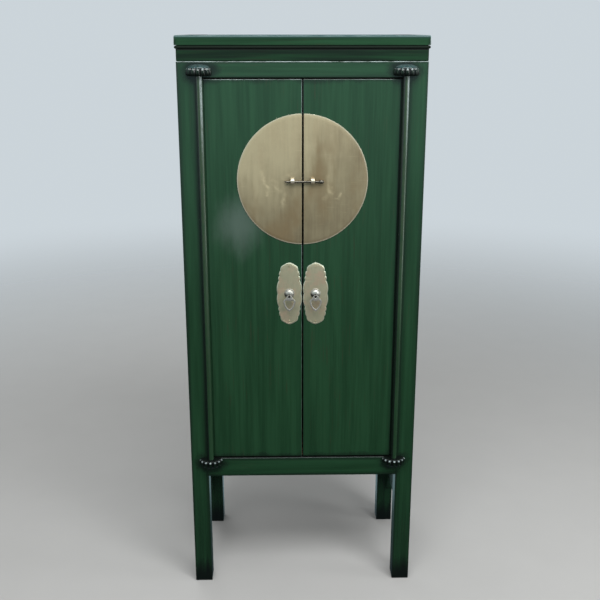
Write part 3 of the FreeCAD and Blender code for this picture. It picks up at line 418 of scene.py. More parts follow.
@shader_group(("Point", "Stretch"), ("Ring", "Fibre", "Height"))
def wood_grain(point, stretch):
    """Rings and fibres of a plain board."""
    along = point * stretch
    bands = (scaled(along, 0.16).noise(1.0, 2.0) * 16.0).math("PINGPONG", 1.0)
    fibre = scaled(along, 2.5).noise(1.0, 4.0, 0.65)
    return bands.ramp(0.15, 0.95), fibre, fibre + bands * 0.3


@shader_group(("Point", "Stretch"), ("Cloud", "Scratch", "Height"))
def brass_wear(point, stretch):
    """Clouded tarnish, brushing, crossing scratches and small dents of old brass."""
    brush = (point * stretch).noise(1.0)
    cloud = point.noise(8.0, 5.0, 0.6) * 0.62 + brush * 0.38
    scratches = []
    for turn, place in ((0.6, 3.0), (-0.9, 7.0), (1.9, 11.0)):
        shift = (place, 0.0, 0.0)
        turned = point.node("ShaderNodeMapping", {
            "Vector": point, "Location": shift, "Rotation": (0.0, turn, 0.0), "Scale": (14.0, 1.0, 420.0)})
        where = (point + shift).noise(16.0, 2.0)
        scratches.append(turned.noise(1.0, 1.0).ramp(0.69, 0.73) * where.ramp(0.52, 0.62))
    return cloud.ramp(0.36, 0.64), scratches[0].most(*scratches[1:]), brush * 0.4 + point.noise(120.0, 2.0)


def wood_colour(point, stretch):
    """The plain wood's colour and height."""
    tints = bpy.context.scene.cabinet_wood
    ring, fibre, height = wood_grain(point, stretch)
    return (ring * fibre.ramp(0.3, 0.7, 0.5, 1.0)).mix(tints.pale, tints.dark), height


def wood_finish(name, stretch, gap_shaded=0.0):
    """Plain waxed wood, for the pieces inside. The last share is of a near-black tint over it, painted shade
    where the wood shows in a gap.
    """
    finish = Finish(name)
    tint, height = wood_colour(finish.point, stretch)
    if gap_shaded:
        tint = blend(finish.tree, gap_shaded, tint, bpy.context.scene.cabinet_wood.stain)
    finish.give(Base_Color=tint, Roughness=0.55)
    finish.bump(height, 0.25, 0.0006)
    return finish.material


def lacquer_finish(name, low, high, stretch, rim=0.004, fade=0.018, smear=0.0, worn=0.5, spared=None,
                   pivots=0.0, feet=0.0, bare=None, haze=None, dull_below=None, black_above=None,
                   dusty_above=None, seam=None, clear=None, gleam=0.5):
    """Green lacquer over a boxy piece between two corners, with its glaze and wear, and painted shade and
    painted highlights.

    Rim, fade and smear are the widths of the glaze along the edges and the share of wiped glaze. The
    share of wear gives pale arrises, partly bare wood and partly a painted highlight, weaker towards the
    floor as painted light from above. Pivots is the share of painted shade, with some glaze, round the
    carved blocks and beside the poles, and feet the share of dark paint on the feet, with painted shade
    darkening the legs above them. Spared is how far the lower and the upper corner move out for the wear
    and painted highlight, so that they leave those sides alone. Bare is an axis and an offset along it,
    beyond which the wood is left plain. The patch of painted reflection is given by its middle and its
    half sizes. Below one height the lacquer is black and dull, painted shade under the edge of the top;
    above others it is black, painted shade in a gap, or dusty with a pale band under the dust that is a
    painted reflection of the sky. Seam is how far from the middle the door edge starts that is painted
    black as the shade in the seam. Clear is the weight of the top coat where it isn't the usual one, and
    gleam the strength of the gloss.
    """
    tints = bpy.context.scene.cabinet_lacquer
    finish = Finish(name)
    point = finish.point
    x, _, z = point.axes()
    distance = lit_wear_distance = arris_distance(point, low, high)[0]
    if spared:
        lit_wear_distance = arris_distance(point, low - Vector(spared[0]), high + Vector(spared[1]))[0]
    dark, rubbed_and_lit = antique_glaze(point, distance, lit_wear_distance, rim, fade, smear, stretch)
    tone, fleck, height = lacquer_grain(point, stretch)
    # Wear and painted highlights weaken towards the floor, as painted light falling from above.
    rubbed_and_lit *= z.ramp(0.3, 1.5, 0.12 * worn, worn)
    matt = []
    # Painted shade, with some glaze, round the pivots.
    if pivots:
        dark = dark.most(pivot_shade(point)[0] * pivots)
    # Dark paint on the feet, and painted shade darkening the legs towards the floor.
    if feet:
        level = z + tone * 0.03
        dark = dark.most(level.ramp(0.035, 0.13, feet, 0.0), level.ramp(0.10, 0.5, 0.30, 0.0))
    # Painted shade: black along an upper edge in a gap or under an overhang.
    if black_above:
        black = z.ramp(black_above - 0.0004, black_above, 0.0, 0.97)
        dark = dark.most(black)
        rubbed_and_lit *= 1.0 - black
        matt.append((black, 0.5))
    # Painted shade: the door's edge in the seam is black.
    if seam:
        face = abs(x).ramp(seam, seam + 0.0008)
        dark = dark.most(0.98 - face)
        rubbed_and_lit *= face
    tint = tone.mix(tints.green, tints.light_green)
    tint = (fleck * 0.55).mix(tint, tints.fleck)
    # A painted reflection: a soft pale patch on the door.
    if haze:
        cloud = (point * (20.0, 20.0, 9.0)).noise(1.0, 4.0)
        reach = ((point - haze[0]) / haze[1]).length() + cloud
        tint = reach.ramp(0.60, 1.70, 0.95, 0.0).mix(tint, tints.haze)
    tint = dark.mix(tint, tints.glaze)
    tint = rubbed_and_lit.mix(tint, tints.worn)
    # Painted shade: the bead under the edge of the top, black and dull.
    if dull_below:
        dull = z.ramp(dull_below - 0.0006, dull_below, 1.0, 0.0)
        tint = (dull * 0.93).mix(tint, tints.bead)
        matt.append((dull, 0.55))
    # Dust on the top face, and under it a pale band that is a painted reflection of the sky on the rounded
    # edge.
    if dusty_above:
        dusty = z.ramp(dusty_above - 0.0003, dusty_above)
        pale = z.ramp(dusty_above - 0.010, dusty_above - 0.001, 0.0, 0.5) * (1.0 - dusty)
        tint = (pale * pale).mix(tint, tints.bleached)
        tint = (dusty * 0.6).mix(tint, tints.dust)
        matt.append((dusty, 0.45))
    rough = rubbed_and_lit * 0.25 + tints.roughness
    weight = tints.coat if clear is None else clear
    coat = weight - rubbed_and_lit.most(dark) * (0.5 * weight)
    for mask, roughening in matt:
        rough += mask * roughening
        coat *= 1.0 - mask
    if bare:
        axis, offset = bare
        plain = point.along(axis).ramp(offset - 0.0004, offset)
        wood_tint, wood_height = wood_colour(point, stretch)
        tint = plain.mix(tint, wood_tint)
        rough = rough.most(plain * 0.55)
        coat *= 1.0 - plain
        height += wood_height * plain
    finish.give(Base_Color=tint, Roughness=rough, Coat_Weight=coat, Coat_Roughness=0.09,
                Specular_IOR_Level=gleam)
    finish.bump(height, 0.10, 0.0012)
    return finish.material


def carved_finish(name, foot, rise, lit, cap):
    """Black lacquer of a carved block, with painted highlights on the crests of its ribs, a painted sky
    reflection on its cap and painted shade towards the pole's face.

    Foot is the middle of the face that the pole stands in, and rise the way from there to the cap.
    Lit is the band of that way in which the crests get painted highlights, and cap the strength of the
    painted sky reflection on the cap.
    """
    tints = bpy.context.scene.cabinet_lacquer
    finish = Finish(name)
    x, y, z = (finish.point - foot).axes()
    share = z / rise
    wave = (y.math("ARCTAN2", x) * (2.0 * bpy.context.scene.cabinet_carving.lobes)).math("COSINE")
    spots = finish.point.noise(140.0)
    patches = finish.point.noise(55.0, 2.0)
    start, stop = lit
    # Pale cap: a painted reflection of the sky.
    pale = share.ramp(0.66, 0.72) * spots.ramp(0.35, 0.65, cap, 0.55 * cap)
    # Green only on the ribs away from the pole's face; towards it the block stays black, painted shade under
    # the upper blocks.
    green = share.ramp(0.1, 0.5) * wave.ramp(-0.6, 0.4, 0.30, 0.0)
    # Crests: painted highlights on the shoulders of the ribs.
    crest = (share.ramp(start, start + 0.07) * share.ramp(stop - 0.05, stop, 1.0, 0.0)
             * wave.ramp(-0.85, 0.0, 1.0, 0.0) * patches.ramp(0.38, 0.62, 0.35, 1.0))
    tint = tints.glaze
    for mask, over in ((pale, tints.bleached), (green, tints.green), (crest, tints.worn)):
        tint = mask.mix(tint, over)
    finish.give(Base_Color=tint, Roughness=spots.ramp(0.3, 0.7, 0.16, 0.24), Specular_IOR_Level=0.2,
                Coat_Weight=share.ramp(0.30, 0.60, 0.10, 0.8), Coat_Roughness=0.06)
    finish.bump(spots, 0.05, 0.0005)
    return finish.material


def pole_finish(name, axis, start, stop):
    """A lacquered pole with a pale band along its front between two offsets, wear and a painted highlight
    fading downwards, khaki on its front and painted shade on its left side.
    """
    tints = bpy.context.scene.cabinet_lacquer
    finish = Finish(name)
    point = finish.point
    tone, _, height = lacquer_grain(point, (90.0, 90.0, 5.0))
    x, y, _ = (point - axis).axes()
    front = x * 0.72 + y * -0.69
    streaks = (point * (220.0, 220.0, 70.0)).noise(1.0, 4.0, 0.6)
    level = point.axes()[2].ramp(LOWER_BLOCK, UPPER_BLOCK, kind="LINEAR")
    # Pale band: wear and a painted highlight, strongest high up and fading downwards as painted light.
    pale = (front.ramp(start, stop) * streaks.ramp(0.30, 0.55, 0.45, 1.0)
            * level.ramp(0.76, 0.97, 0.04, 0.66) * level.ramp(0.0, 0.70, 0.1, 1.0))
    # Khaki: thin lacquer on the front, stronger higher up as painted light.
    thin_and_lit = front.ramp(0.0, 0.006) * streaks.ramp(0.62, 0.40, 0.30, 0.70) * level.ramp(0.0, 0.75, 0.30, 1.0)
    # Painted shade on the pole's left side.
    behind = x.ramp(-0.0052, -0.0022, 0.93, 0.12)
    tint = tone.mix(tints.green, tints.light_green)
    for mask, over in ((thin_and_lit, tints.khaki), (behind, tints.glaze), (pale, tints.worn)):
        tint = mask.mix(tint, over)
    finish.give(Base_Color=tint, Roughness=pale * 0.12 + 0.26, Coat_Weight=0.35, Coat_Roughness=0.10)
    finish.bump(height + streaks, 0.12, 0.0008)
    return finish.material


def brass_finish(name, bright, dull, stretch=(60.0, 60.0, 9.0), roughness=0.36, metal=0.6, dents=0.10,
                 polish_and_highlight=None, rim_tint=None, light=None, rubs=None, painted_shade=None, blush=None):
    """Old brass with clouded tarnish and scratches.

    Four ways to make a mask may be given: a polished rim that is also a painted highlight, the share of
    bright metal as painted light, pale rub marks, and painted shade. Blush is the colour of soft patches and
    how fine they are along x, y and z; with painted light they keep to its darker part.
    """
    finish = Finish(name)
    point = finish.point
    cloud, scratch, height = brass_wear(point, stretch)
    share = cloud
    # Painted light: the share of bright metal follows the painted highlight and the painted shade.
    if light:
        lit = light(point)
        share = cloud * 0.42 + lit * 0.66
    tint = share.mix(dull, bright)
    if blush:
        patch = (point * blush[1]).noise(1.0).ramp(0.44, 0.72, 0.0, 0.75)
        # The brown blotches keep to the painted shade.
        if light:
            patch *= lit.ramp(0.35, 0.85, 1.0, 0.1)
        tint = patch.mix(tint, blush[0])
    scratch *= 0.15 if rubs else 0.5
    if rubs:
        scratch = scratch.most(rubs(point))
    tint = scratch.mix(tint, [min(1.0, 1.3 * channel) for channel in bright])
    rough = cloud.ramp(0.0, 1.0, roughness + 0.08, roughness - 0.06) + scratch * 0.14
    # A polished rim, painted pale as a highlight too.
    if polish_and_highlight:
        rim = polish_and_highlight(point)
        tint = rim.mix(tint, rim_tint)
        rough -= rim * 0.10
    # Painted shade and painted shadow, darker and duller.
    if painted_shade:
        shading = painted_shade(point)
        tint = shading.mix(tint, SHADE_TINT)
        rough += shading * 0.4
    finish.give(Base_Color=tint, Roughness=rough, Metallic=metal)
    finish.bump(height, dents, 0.0006)
    return finish.material


def disc_light(point):
    """Painted light of the round plate as the share of bright metal: a painted highlight above and to the
    left, painted shade below.
    """
    x, _, z = scaled(point - DISC_MIDDLE, 1.0 / DISC_RADIUS).axes()
    broad = (point * (34.0, 1.0, 7.0)).noise(1.0)
    level = z - x * z.ramp(-0.6, 0.6, 0.1, 0.9) + (broad - 0.5) * 1.5
    return level.ramp(-0.85, 0.95)


def disc_rubs(point):
    """Pale marks that hands and keys have left round the lock."""
    cloud = point.noise(60.0).ramp(0.34, 0.66, 0.15, 0.75)
    swayed = point + scaled(Vector((0.022, 0.0, 0.016)), point.noise(48.0, 2.0) - 0.5)
    strokes = []
    for first, last, width, strength in DISC_RUBS:
        start = DISC_MIDDLE + Vector((first[0], 0.0, first[1]))
        run = Vector((last[0] - first[0], 0.0, last[1] - first[1]))
        away = (swayed - start) * (1.0, 0.0, 1.0)
        share = away.along(run / run.length_squared)
        share = share.node("ShaderNodeClamp", {"Value": share})
        reach = (away - scaled(run, share)).length()
        strokes.append(reach.ramp(0.0, 1.4 * width, strength, 0.0) * share.ramp(0.0, 0.7, 0.45, 1.0))
    return strokes[0].most(*strokes[1:]) * cloud


def lock_dirt(point):
    """Painted shadow behind the lock pin, and black painted shade along the seam."""
    reach = ((point - DISC_MIDDLE) / (0.062, 1.0, 0.024)).length() + point.noise(45.0)
    x = point.axes()[0]
    seam = x.ramp(DISC_LOW.x + 0.0012, DISC_LOW.x + 0.0020, 0.95, 0.0) * x.math("GREATER_THAN", 0.0)
    return reach.ramp(0.7, 1.6, 0.20, 0.0).most(seam)


def dirt_below(centre):
    """A way to make a mask of painted shade on the lower left of a point."""
    def below(point):
        return (point - centre).along((0.4, 0.0, 0.92)).ramp(-0.0065, 0.0020, 0.88, 0.0)
    return below


def disc_rim(point):
    """The rim of the round plate: polish and a painted highlight."""
    x, _, z = (point - DISC_MIDDLE).axes()
    return (x * x + z * z).math("SQRT").ramp(DISC_RADIUS - 0.0034, DISC_RADIUS - 0.0016) * 0.8


def painted_rim(point):
    """The rim that a piece has stored on its own mesh."""
    return point.node("ShaderNodeAttribute", output="Fac", attribute_name="rim")


def use_finish(node, material):
    """Gives a CAD node a material of its own."""
    materials = frame["nodes"][node].data.materials
    materials.clear()
    materials.append(material)


def clear_selection():
    bpy.ops.object.select_all(action="DESELECT")


def only(piece):
    """Makes a piece the one that operators act on."""
    clear_selection()
    piece.select_set(True)
    bpy.context.view_layer.objects.active = piece


def open_mesh():
    """Opens the active piece for shaping, with all its faces selected."""
    bpy.ops.object.mode_set(mode="EDIT")
    bpy.ops.mesh.select_mode(type="FACE")
    bpy.ops.mesh.select_all(action="SELECT")


def close_mesh():
    bpy.ops.object.mode_set(mode="OBJECT")


def round_face(name, corners, radius, **place):
    """A flat round face as a new piece, with its place in its mesh."""
    clear_selection()
    bpy.ops.mesh.primitive_circle_add(vertices=corners, radius=radius, fill_type="NGON", **place)
    piece = bpy.context.object
    piece.name = piece.data.name = name
    bpy.ops.object.transform_apply(location=True, rotation=True, scale=True)
    return piece


def front_disc(name, corners, radius, middle):
    """A flat round face that looks to the front, open for shaping."""
    piece = round_face(name, corners, radius, location=middle, rotation=(math.pi / 2, 0.0, 0.0))
    open_mesh()
    return piece


def drawn_out(way, scale, centre):
    """Extrudes the selected face along a way and scales its new rim about a centre."""
    bpy.ops.mesh.extrude_region_move(TRANSFORM_OT_translate={"value": way})
    bpy.ops.transform.resize(value=scale, center_override=centre)


def pulled(way, reach):
    """Moves the selected vertices, and softly those within reach of them."""
    bpy.ops.transform.translate(
        value=way, use_proportional_edit=True, proportional_edit_falloff="SMOOTH", proportional_size=reach)


def pick(kind, test):
    """Selects the vertices or faces of the open mesh that pass a test."""
    bpy.ops.mesh.select_mode(type=kind)
    bpy.ops.mesh.select_all(action="DESELECT")
    data = bpy.context.object.data
    mesh = bmesh.from_edit_mesh(data)
    for part in {"VERT": mesh.verts, "FACE": mesh.faces}[kind]:
        if test(part):
            part.select_set(True)
    mesh.select_flush_mode()
    bmesh.update_edit_mesh(data)


def linked(name, data):
    """A new piece with a mesh of its own, as the one that operators act on."""
    piece = bpy.data.objects.new(name, data)
    data.name = name
    bpy.context.collection.objects.link(piece)
    only(piece)
    return piece


def moved(piece, offset):
    piece.data.transform(Matrix.Translation(offset))


def mirrored(piece, name, axis=Vector((1.0, 0.0, 0.0))):
    """A copy of a piece, mirrored along an axis, with its faces turned outwards again."""
    copy = linked(name, piece.data.copy())
    copy.data.transform(Matrix.Scale(-1.0, 4, axis))
    open_mesh()
    bpy.ops.mesh.normals_make_consistent(inside=False)
    close_mesh()
    return copy


def pair(right):
    """A right-hand piece and its mirrored copy, by side."""
    return (("left", mirrored(right, right.name.replace("right", "left"))), ("right", right))


def cad_copy(node, name):
    """A copy of a CAD node's mesh, merged, as the start of a finer piece."""
    copy = linked(name, frame["nodes"][node].data.copy())
    copy.data.materials.clear()
    open_mesh()
    bpy.ops.mesh.remove_doubles(threshold=1e-6)
    bpy.ops.mesh.dissolve_limited(angle_limit=math.radians(0.5))
    close_mesh()
    if copy.data.has_custom_normals:
        bpy.ops.mesh.customdata_custom_splitnormals_clear()
    return copy


def modified(piece, kind, **settings):
    """Adds a modifier to a piece and applies it."""
    only(piece)
    modifier = piece.modifiers.new(kind.lower(), kind)
    for key, value in settings.items():
        setattr(modifier, key, value)
    bpy.ops.object.modifier_apply(modifier=modifier.name)


def rounded(piece, width, segments, angle):
    """Rounds the edges of a piece that are sharper than an angle."""
    modified(piece, "BEVEL", width=width, segments=segments, limit_method="ANGLE",
             angle_limit=math.radians(angle))


def smooth(piece, angle):
    only(piece)
    bpy.ops.object.shade_smooth_by_angle(angle=math.radians(angle))


def fitted(piece, body, slot, material, *nodes):
    """Fits a finished piece to its CAD body in place of the plain nodes."""
    piece.data.materials.clear()
    piece.data.materials.append(material)
    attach(piece, body)
    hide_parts(*nodes)


class CABINET_OT_lacquer(bpy.types.Operator):
    """Lacquer the posts, rails, panels, top and door leaves"""

    bl_idname = "cabinet.lacquer"
    bl_label = "Lacquer the Case"

    TONGUE = 0.008  # of a panel in its grooves, out of sight
    BEAD = 0.0092  # height of the bead under the edge of the top
    DUSTY = 0.0001  # depth of the dust on the top
    LEAF_EDGE, RAIL_EDGE, FRIEZE_EDGE = 0.0003, 0.0004, 0.0035  # depths of the painted shade along the upper edges that lie in gaps
    LEAF_PLAIN = 0.0012  # depth of the plain wood at the back of a leaf
    FAR = 0.5  # a side that is moved out by this is left alone
    KEEP_UNDERSIDE = ((0.0, 0.0, FAR), (0.0, 0.0, 0.0))
    KEEP_POST = ((FAR, 0.0, FAR), (FAR, FAR, 0.0))
    # What differs between the doors: wear and painted highlight, spared sides, a patch of painted reflection,
    # the painted shade of the seam and the pale band of the pole, wear and painted highlight.
    DOORS = {
        "left": (0.7, ((0.0, 0.0, FAR), (-FAR, 0.0, 0.0)),
                 (Vector((-0.172, LEAF_FRONT, 1.108)), Vector((0.075, 0.1, 0.095))), 0.0, (0.0066, 0.0082)),
        "right": (0.3, ((-FAR, 0.0, FAR), (0.0, 0.0, 0.0)), None, 0.0012, (0.0072, 0.0084)),
    }

    def execute(self, context):
        for side in SIDES:
            self.coat_side(side)
            self.coat_door(side)
        for end in ENDS:
            rail = dict(rim=0.003, fade=0.012, spared=self.KEEP_UNDERSIDE, pivots=1.0)
            self.coat(f"{end}_top_rail", ACROSS, (self.FAR, 0.0, 0.0), worn=1.0, **rail)
            bottom = f"{end}_bottom_rail"
            self.coat(bottom, ACROSS, (self.FAR, 0.0, 0.0), worn=0.2, smear=0.45,
                      black_above=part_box(bottom)[1].z - self.RAIL_EDGE, **rail)
        self.coat("back_panel", UPRIGHT, (-self.TONGUE, 0.0, -self.TONGUE), fade=0.04, worn=0.0,
                  bare=((0.0, -1.0, 0.0), -sum(corner.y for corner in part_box("back_panel")) / 2))
        self.coat("top_panel", ACROSS, (-self.TONGUE, -self.TONGUE, 0.0), fade=0.03, worn=0.2, smear=0.2)
        for side, stretch in (("front", ACROSS), ("back", ACROSS), ("left", INWARD), ("right", INWARD)):
            low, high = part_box(f"{side}_top_frame")
            self.coat(f"{side}_top_frame", stretch, rim=0.006, fade=0.011, worn=1.0,
                      spared=self.KEEP_UNDERSIDE, smear=0.7, dull_below=low.z + self.BEAD,
                      dusty_above=high.z - self.DUSTY, clear=0.2, gleam=0.22)
            self.coat(f"{side}_frieze", stretch, fade=0.014, worn=0.0, smear=0.82, clear=0.0, gleam=0.25,
                      black_above=low.z - self.FRIEZE_EDGE)
        return {"FINISHED"}

    def coat(self, node, stretch, grow=(0.0, 0.0, 0.0), top=None, **wear):
        """Lacquers a node, with the box of its edges grown on both sides or ending at a top."""
        low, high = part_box(node)
        if top:
            high.z = top
        use_finish(node, lacquer_finish(node, low - Vector(grow), high + Vector(grow), stretch, **wear))

    def coat_side(self, side):
        """The posts, rails, panel, apron and spandrels of one side."""
        for end in ENDS:
            self.coat(f"{side}_{end}_post", UPRIGHT, top=POST_TOP, rim=0.003, fade=0.013, worn=0.75,
                      spared=self.KEEP_POST, pivots=1.0, feet=0.985)
            self.coat(f"{side}_{end}_spandrel", INWARD, worn=0.3)
        for level in ("top", "bottom"):
            self.coat(f"{side}_{level}_rail", INWARD, (0.0, self.FAR, 0.0), worn=0.4,
                      spared=self.KEEP_UNDERSIDE)
        self.coat(f"{side}_apron", INWARD, worn=0.3)
        panel = f"{side}_side_panel"
        middle = sum(corner.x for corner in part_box(panel)) / 2
        self.coat(panel, UPRIGHT, (0.0, -self.TONGUE, -self.TONGUE), fade=0.04, worn=0.0,
                  bare=((-math.copysign(1.0, middle), 0.0, 0.0), -abs(middle)))

    def coat_door(self, side):
        """The leaf and the pole of one door."""
        worn, spared, haze, seam, band = self.DOORS[side]
        leaf, pole = f"{side}_door_leaf", f"{side}_pivot_pole"
        low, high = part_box(leaf)
        self.coat(leaf, UPRIGHT, (self.FAR, 0.0, 0.0), rim=0.0022, fade=0.016, worn=worn, spared=spared,
                  pivots=0.9, bare=((0.0, 1.0, 0.0), LEAF_BACK - self.LEAF_PLAIN), haze=haze,
                  black_above=high.z - self.LEAF_EDGE, seam=min(abs(low.x), abs(high.x)) + seam)
        axis = Vector((math.copysign(PIVOT.x, low.x + high.x), PIVOT.y, 0.0))
        use_finish(pole, pole_finish(pole, axis, *band))


class CABINET_OT_inner_wood(bpy.types.Operator):
    """Give floor board, shelves, cleats, stop and battens their plain wood, the stop nearly black as painted
    shade
    """

    bl_idname = "cabinet.inner_wood"
    bl_label = "Plain Wood Inside"

    ACROSS = (3.0, 55.0, 55.0)
    INWARD = (55.0, 3.0, 55.0)

    def execute(self, context):
        across = wood_finish("plain_wood_across", self.ACROSS)
        for node in ("floor_board", "lower_shelf", "upper_shelf", "left_door_battens", "right_door_battens"):
            use_finish(node, across)
        use_finish("shelf_cleats", wood_finish("plain_wood_inward", self.INWARD))
        # The door stop shows in the gap above the doors: near-black there as painted shade.
        use_finish("top_door_stop", wood_finish("stained_wood_across", self.ACROSS, gap_shaded=0.95))
        return {"FINISHED"}


class CABINET_OT_carved_blocks(bpy.types.Operator):
    """Carve the four ribbed blocks that hold the door poles"""

    bl_idname = "cabinet.carved_blocks"
    bl_label = "Carved Pivot Blocks"

    # Profile from the pole's face to the cap: share of the height, share of the reach, share of the grooves.
    PROFILE = (
        (0.0, 0.86, 0.5), (0.06, 0.945, 0.9), (0.17, 0.99, 1.0), (0.32, 1.0, 1.0), (0.46, 0.985, 1.0),
        (0.57, 0.945, 1.0), (0.64, 0.89, 0.8), (0.665, 0.84, 0.5), (0.69, 0.87, 0.3), (0.78, 0.81, 0.15),
        (0.87, 0.69, 0.0), (0.94, 0.52, 0.0), (0.985, 0.32, 0.0), (1.0, 0.12, 0.0),
    )
    POINTS_PER_RIB = 8

    def execute(self, context):
        carving = context.scene.cabinet_carving
        low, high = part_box("right_upper_block")
        foot = Vector(((low.x + high.x) / 2, FACE_Y, low.z))
        half_width = (high.x - low.x) / 2
        reach = FACE_Y - low.y
        rise = high.z - low.z
        upper = round_face(
            "right_upper_block_carved", 2 * self.POINTS_PER_RIB * carving.lobes, half_width, location=foot)
        open_mesh()
        first = self.PROFILE[0][1]
        bpy.ops.transform.resize(value=(first, first * reach / half_width, 1.0), center_override=foot)
        for before, after in zip(self.PROFILE, self.PROFILE[1:]):
            scale = after[1] / before[1]
            drawn_out((0.0, 0.0, (after[0] - before[0]) * rise), (scale, scale, 1.0), foot)
        pick("FACE", lambda face: abs(face.normal.z) > 0.99 and len(face.verts) > 4)
        bpy.ops.mesh.poke()
        self.cut_grooves(foot, half_width, reach, rise, carving)
        bpy.ops.mesh.select_all(action="SELECT")
        bpy.ops.mesh.normals_make_consistent(inside=False)
        close_mesh()
        modified(upper, "SUBSURF", levels=1, render_levels=1)
        open_mesh()
        bpy.ops.mesh.bisect(plane_co=foot, plane_no=(0.0, 1.0, 0.0), use_fill=True, clear_outer=True)
        close_mesh()
        smooth(upper, 50)
        lower = mirrored(upper, "right_lower_block_carved", Vector((0.0, 0.0, 1.0)))
        moved(lower, Vector((0.0, 0.0, foot.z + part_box("right_lower_block")[1].z)))
        # The end of a block where the pole stands, the way to its cap, the band of painted highlights on the
        # crests and the strength of the painted sky reflection on the cap.
        for row, block, end, way, lit, cap in (("upper", upper, 0, rise, (0.54, 0.68), 0.22),
                                               ("lower", lower, 1, -rise, (0.02, 0.20), 0.0)):
            for side, piece in pair(block):
                node = f"{side}_{row}_block"
                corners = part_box(node)
                centre = Vector(((corners[0].x + corners[1].x) / 2, FACE_Y, corners[end].z))
                finish = carved_finish(f"{node}_carving", centre, way, lit, cap)
                fitted(piece, "carcass", "carved_lacquer", finish, node)
        return {"FINISHED"}

    def cut_grooves(self, foot, half_width, reach, rise, carving):
        """Draws the upright lines between the ribs in, each level by its share."""
        def line(vertex):
            away = vertex.co - foot
            turn = math.atan2(away.y / reach, away.x / half_width)
            return turn / math.pi * carving.lobes

        for level, _, depth in self.PROFILE:
            if depth == 0.0:
                continue
            for step in range(self.POINTS_PER_RIB // 2):
                offset = step / self.POINTS_PER_RIB
                bulge = math.sqrt(1.0 - (1.0 - 2.0 * offset) ** 2)
                share = 1.0 - carving.depth * depth * (1.0 - bulge)
                pick("VERT", lambda v: abs(v.co.z - foot.z - level * rise) < 1e-4
                     and (v.co - foot).xy.length > 0.2 * reach
                     and abs(abs(line(v) - round(line(v))) - offset) < 0.02)
                bpy.ops.transform.resize(value=(share, share, 1.0), center_override=foot)


class CABINET_OT_half_discs(bpy.types.Operator):
    """Beat the two halves of the round brass plate"""

    bl_idname = "cabinet.half_discs"
    bl_label = "Half Discs"

    CORNERS = 256
    RINGS = 16
    WAVE_SIZE = 0.13

    def execute(self, context):
        shape = context.scene.cabinet_brasswork
        tints = context.scene.cabinet_brass
        right = front_disc("right_half_disc_beaten", self.CORNERS, DISC_RADIUS, DISC_MIDDLE)
        for _ in range(self.RINGS - 1):
            bpy.ops.mesh.inset(thickness=DISC_RADIUS / self.RINGS, depth=0.0)
        bpy.ops.mesh.poke()
        bpy.ops.mesh.select_all(action="SELECT")
        bpy.ops.mesh.bisect(plane_co=(DISC_LOW.x, 0.0, 0.0), plane_no=(1.0, 0.0, 0.0), clear_inner=True)
        close_mesh()
        modified(right, "SOLIDIFY", thickness=LEAF_FRONT - DISC_LOW.y, offset=-1.0)
        rounded(right, shape.disc_rim, 3, 60)
        waves = bpy.data.textures.new("beaten_waves", "CLOUDS")
        waves.noise_scale = self.WAVE_SIZE
        waves.noise_depth = 1
        # The disc's brass follows painted light: a painted highlight above and to the left, painted shade
        # below, a painted shadow behind the pin and painted shade in the seam; its rim is polished and
        # painted as a highlight.
        finish = brass_finish("disc_brass", tints.bright, tints.tarnish, (70.0, 60.0, 5.0), polish_and_highlight=disc_rim,
                              rim_tint=tints.disc_rim, light=disc_light, rubs=disc_rubs, painted_shade=lock_dirt,
                              blush=(tints.brown, (13.0, 1.0, 7.0)))
        for side, piece in pair(right):
            modified(piece, "DISPLACE", texture=waves, texture_coords="LOCAL", direction="Y",
                     strength=shape.disc_wave, mid_level=0.5)
            smooth(piece, 40)
            fitted(piece, f"{side}_door", "aged_brass", finish, f"{side}_half_disc")
        return {"FINISHED"}


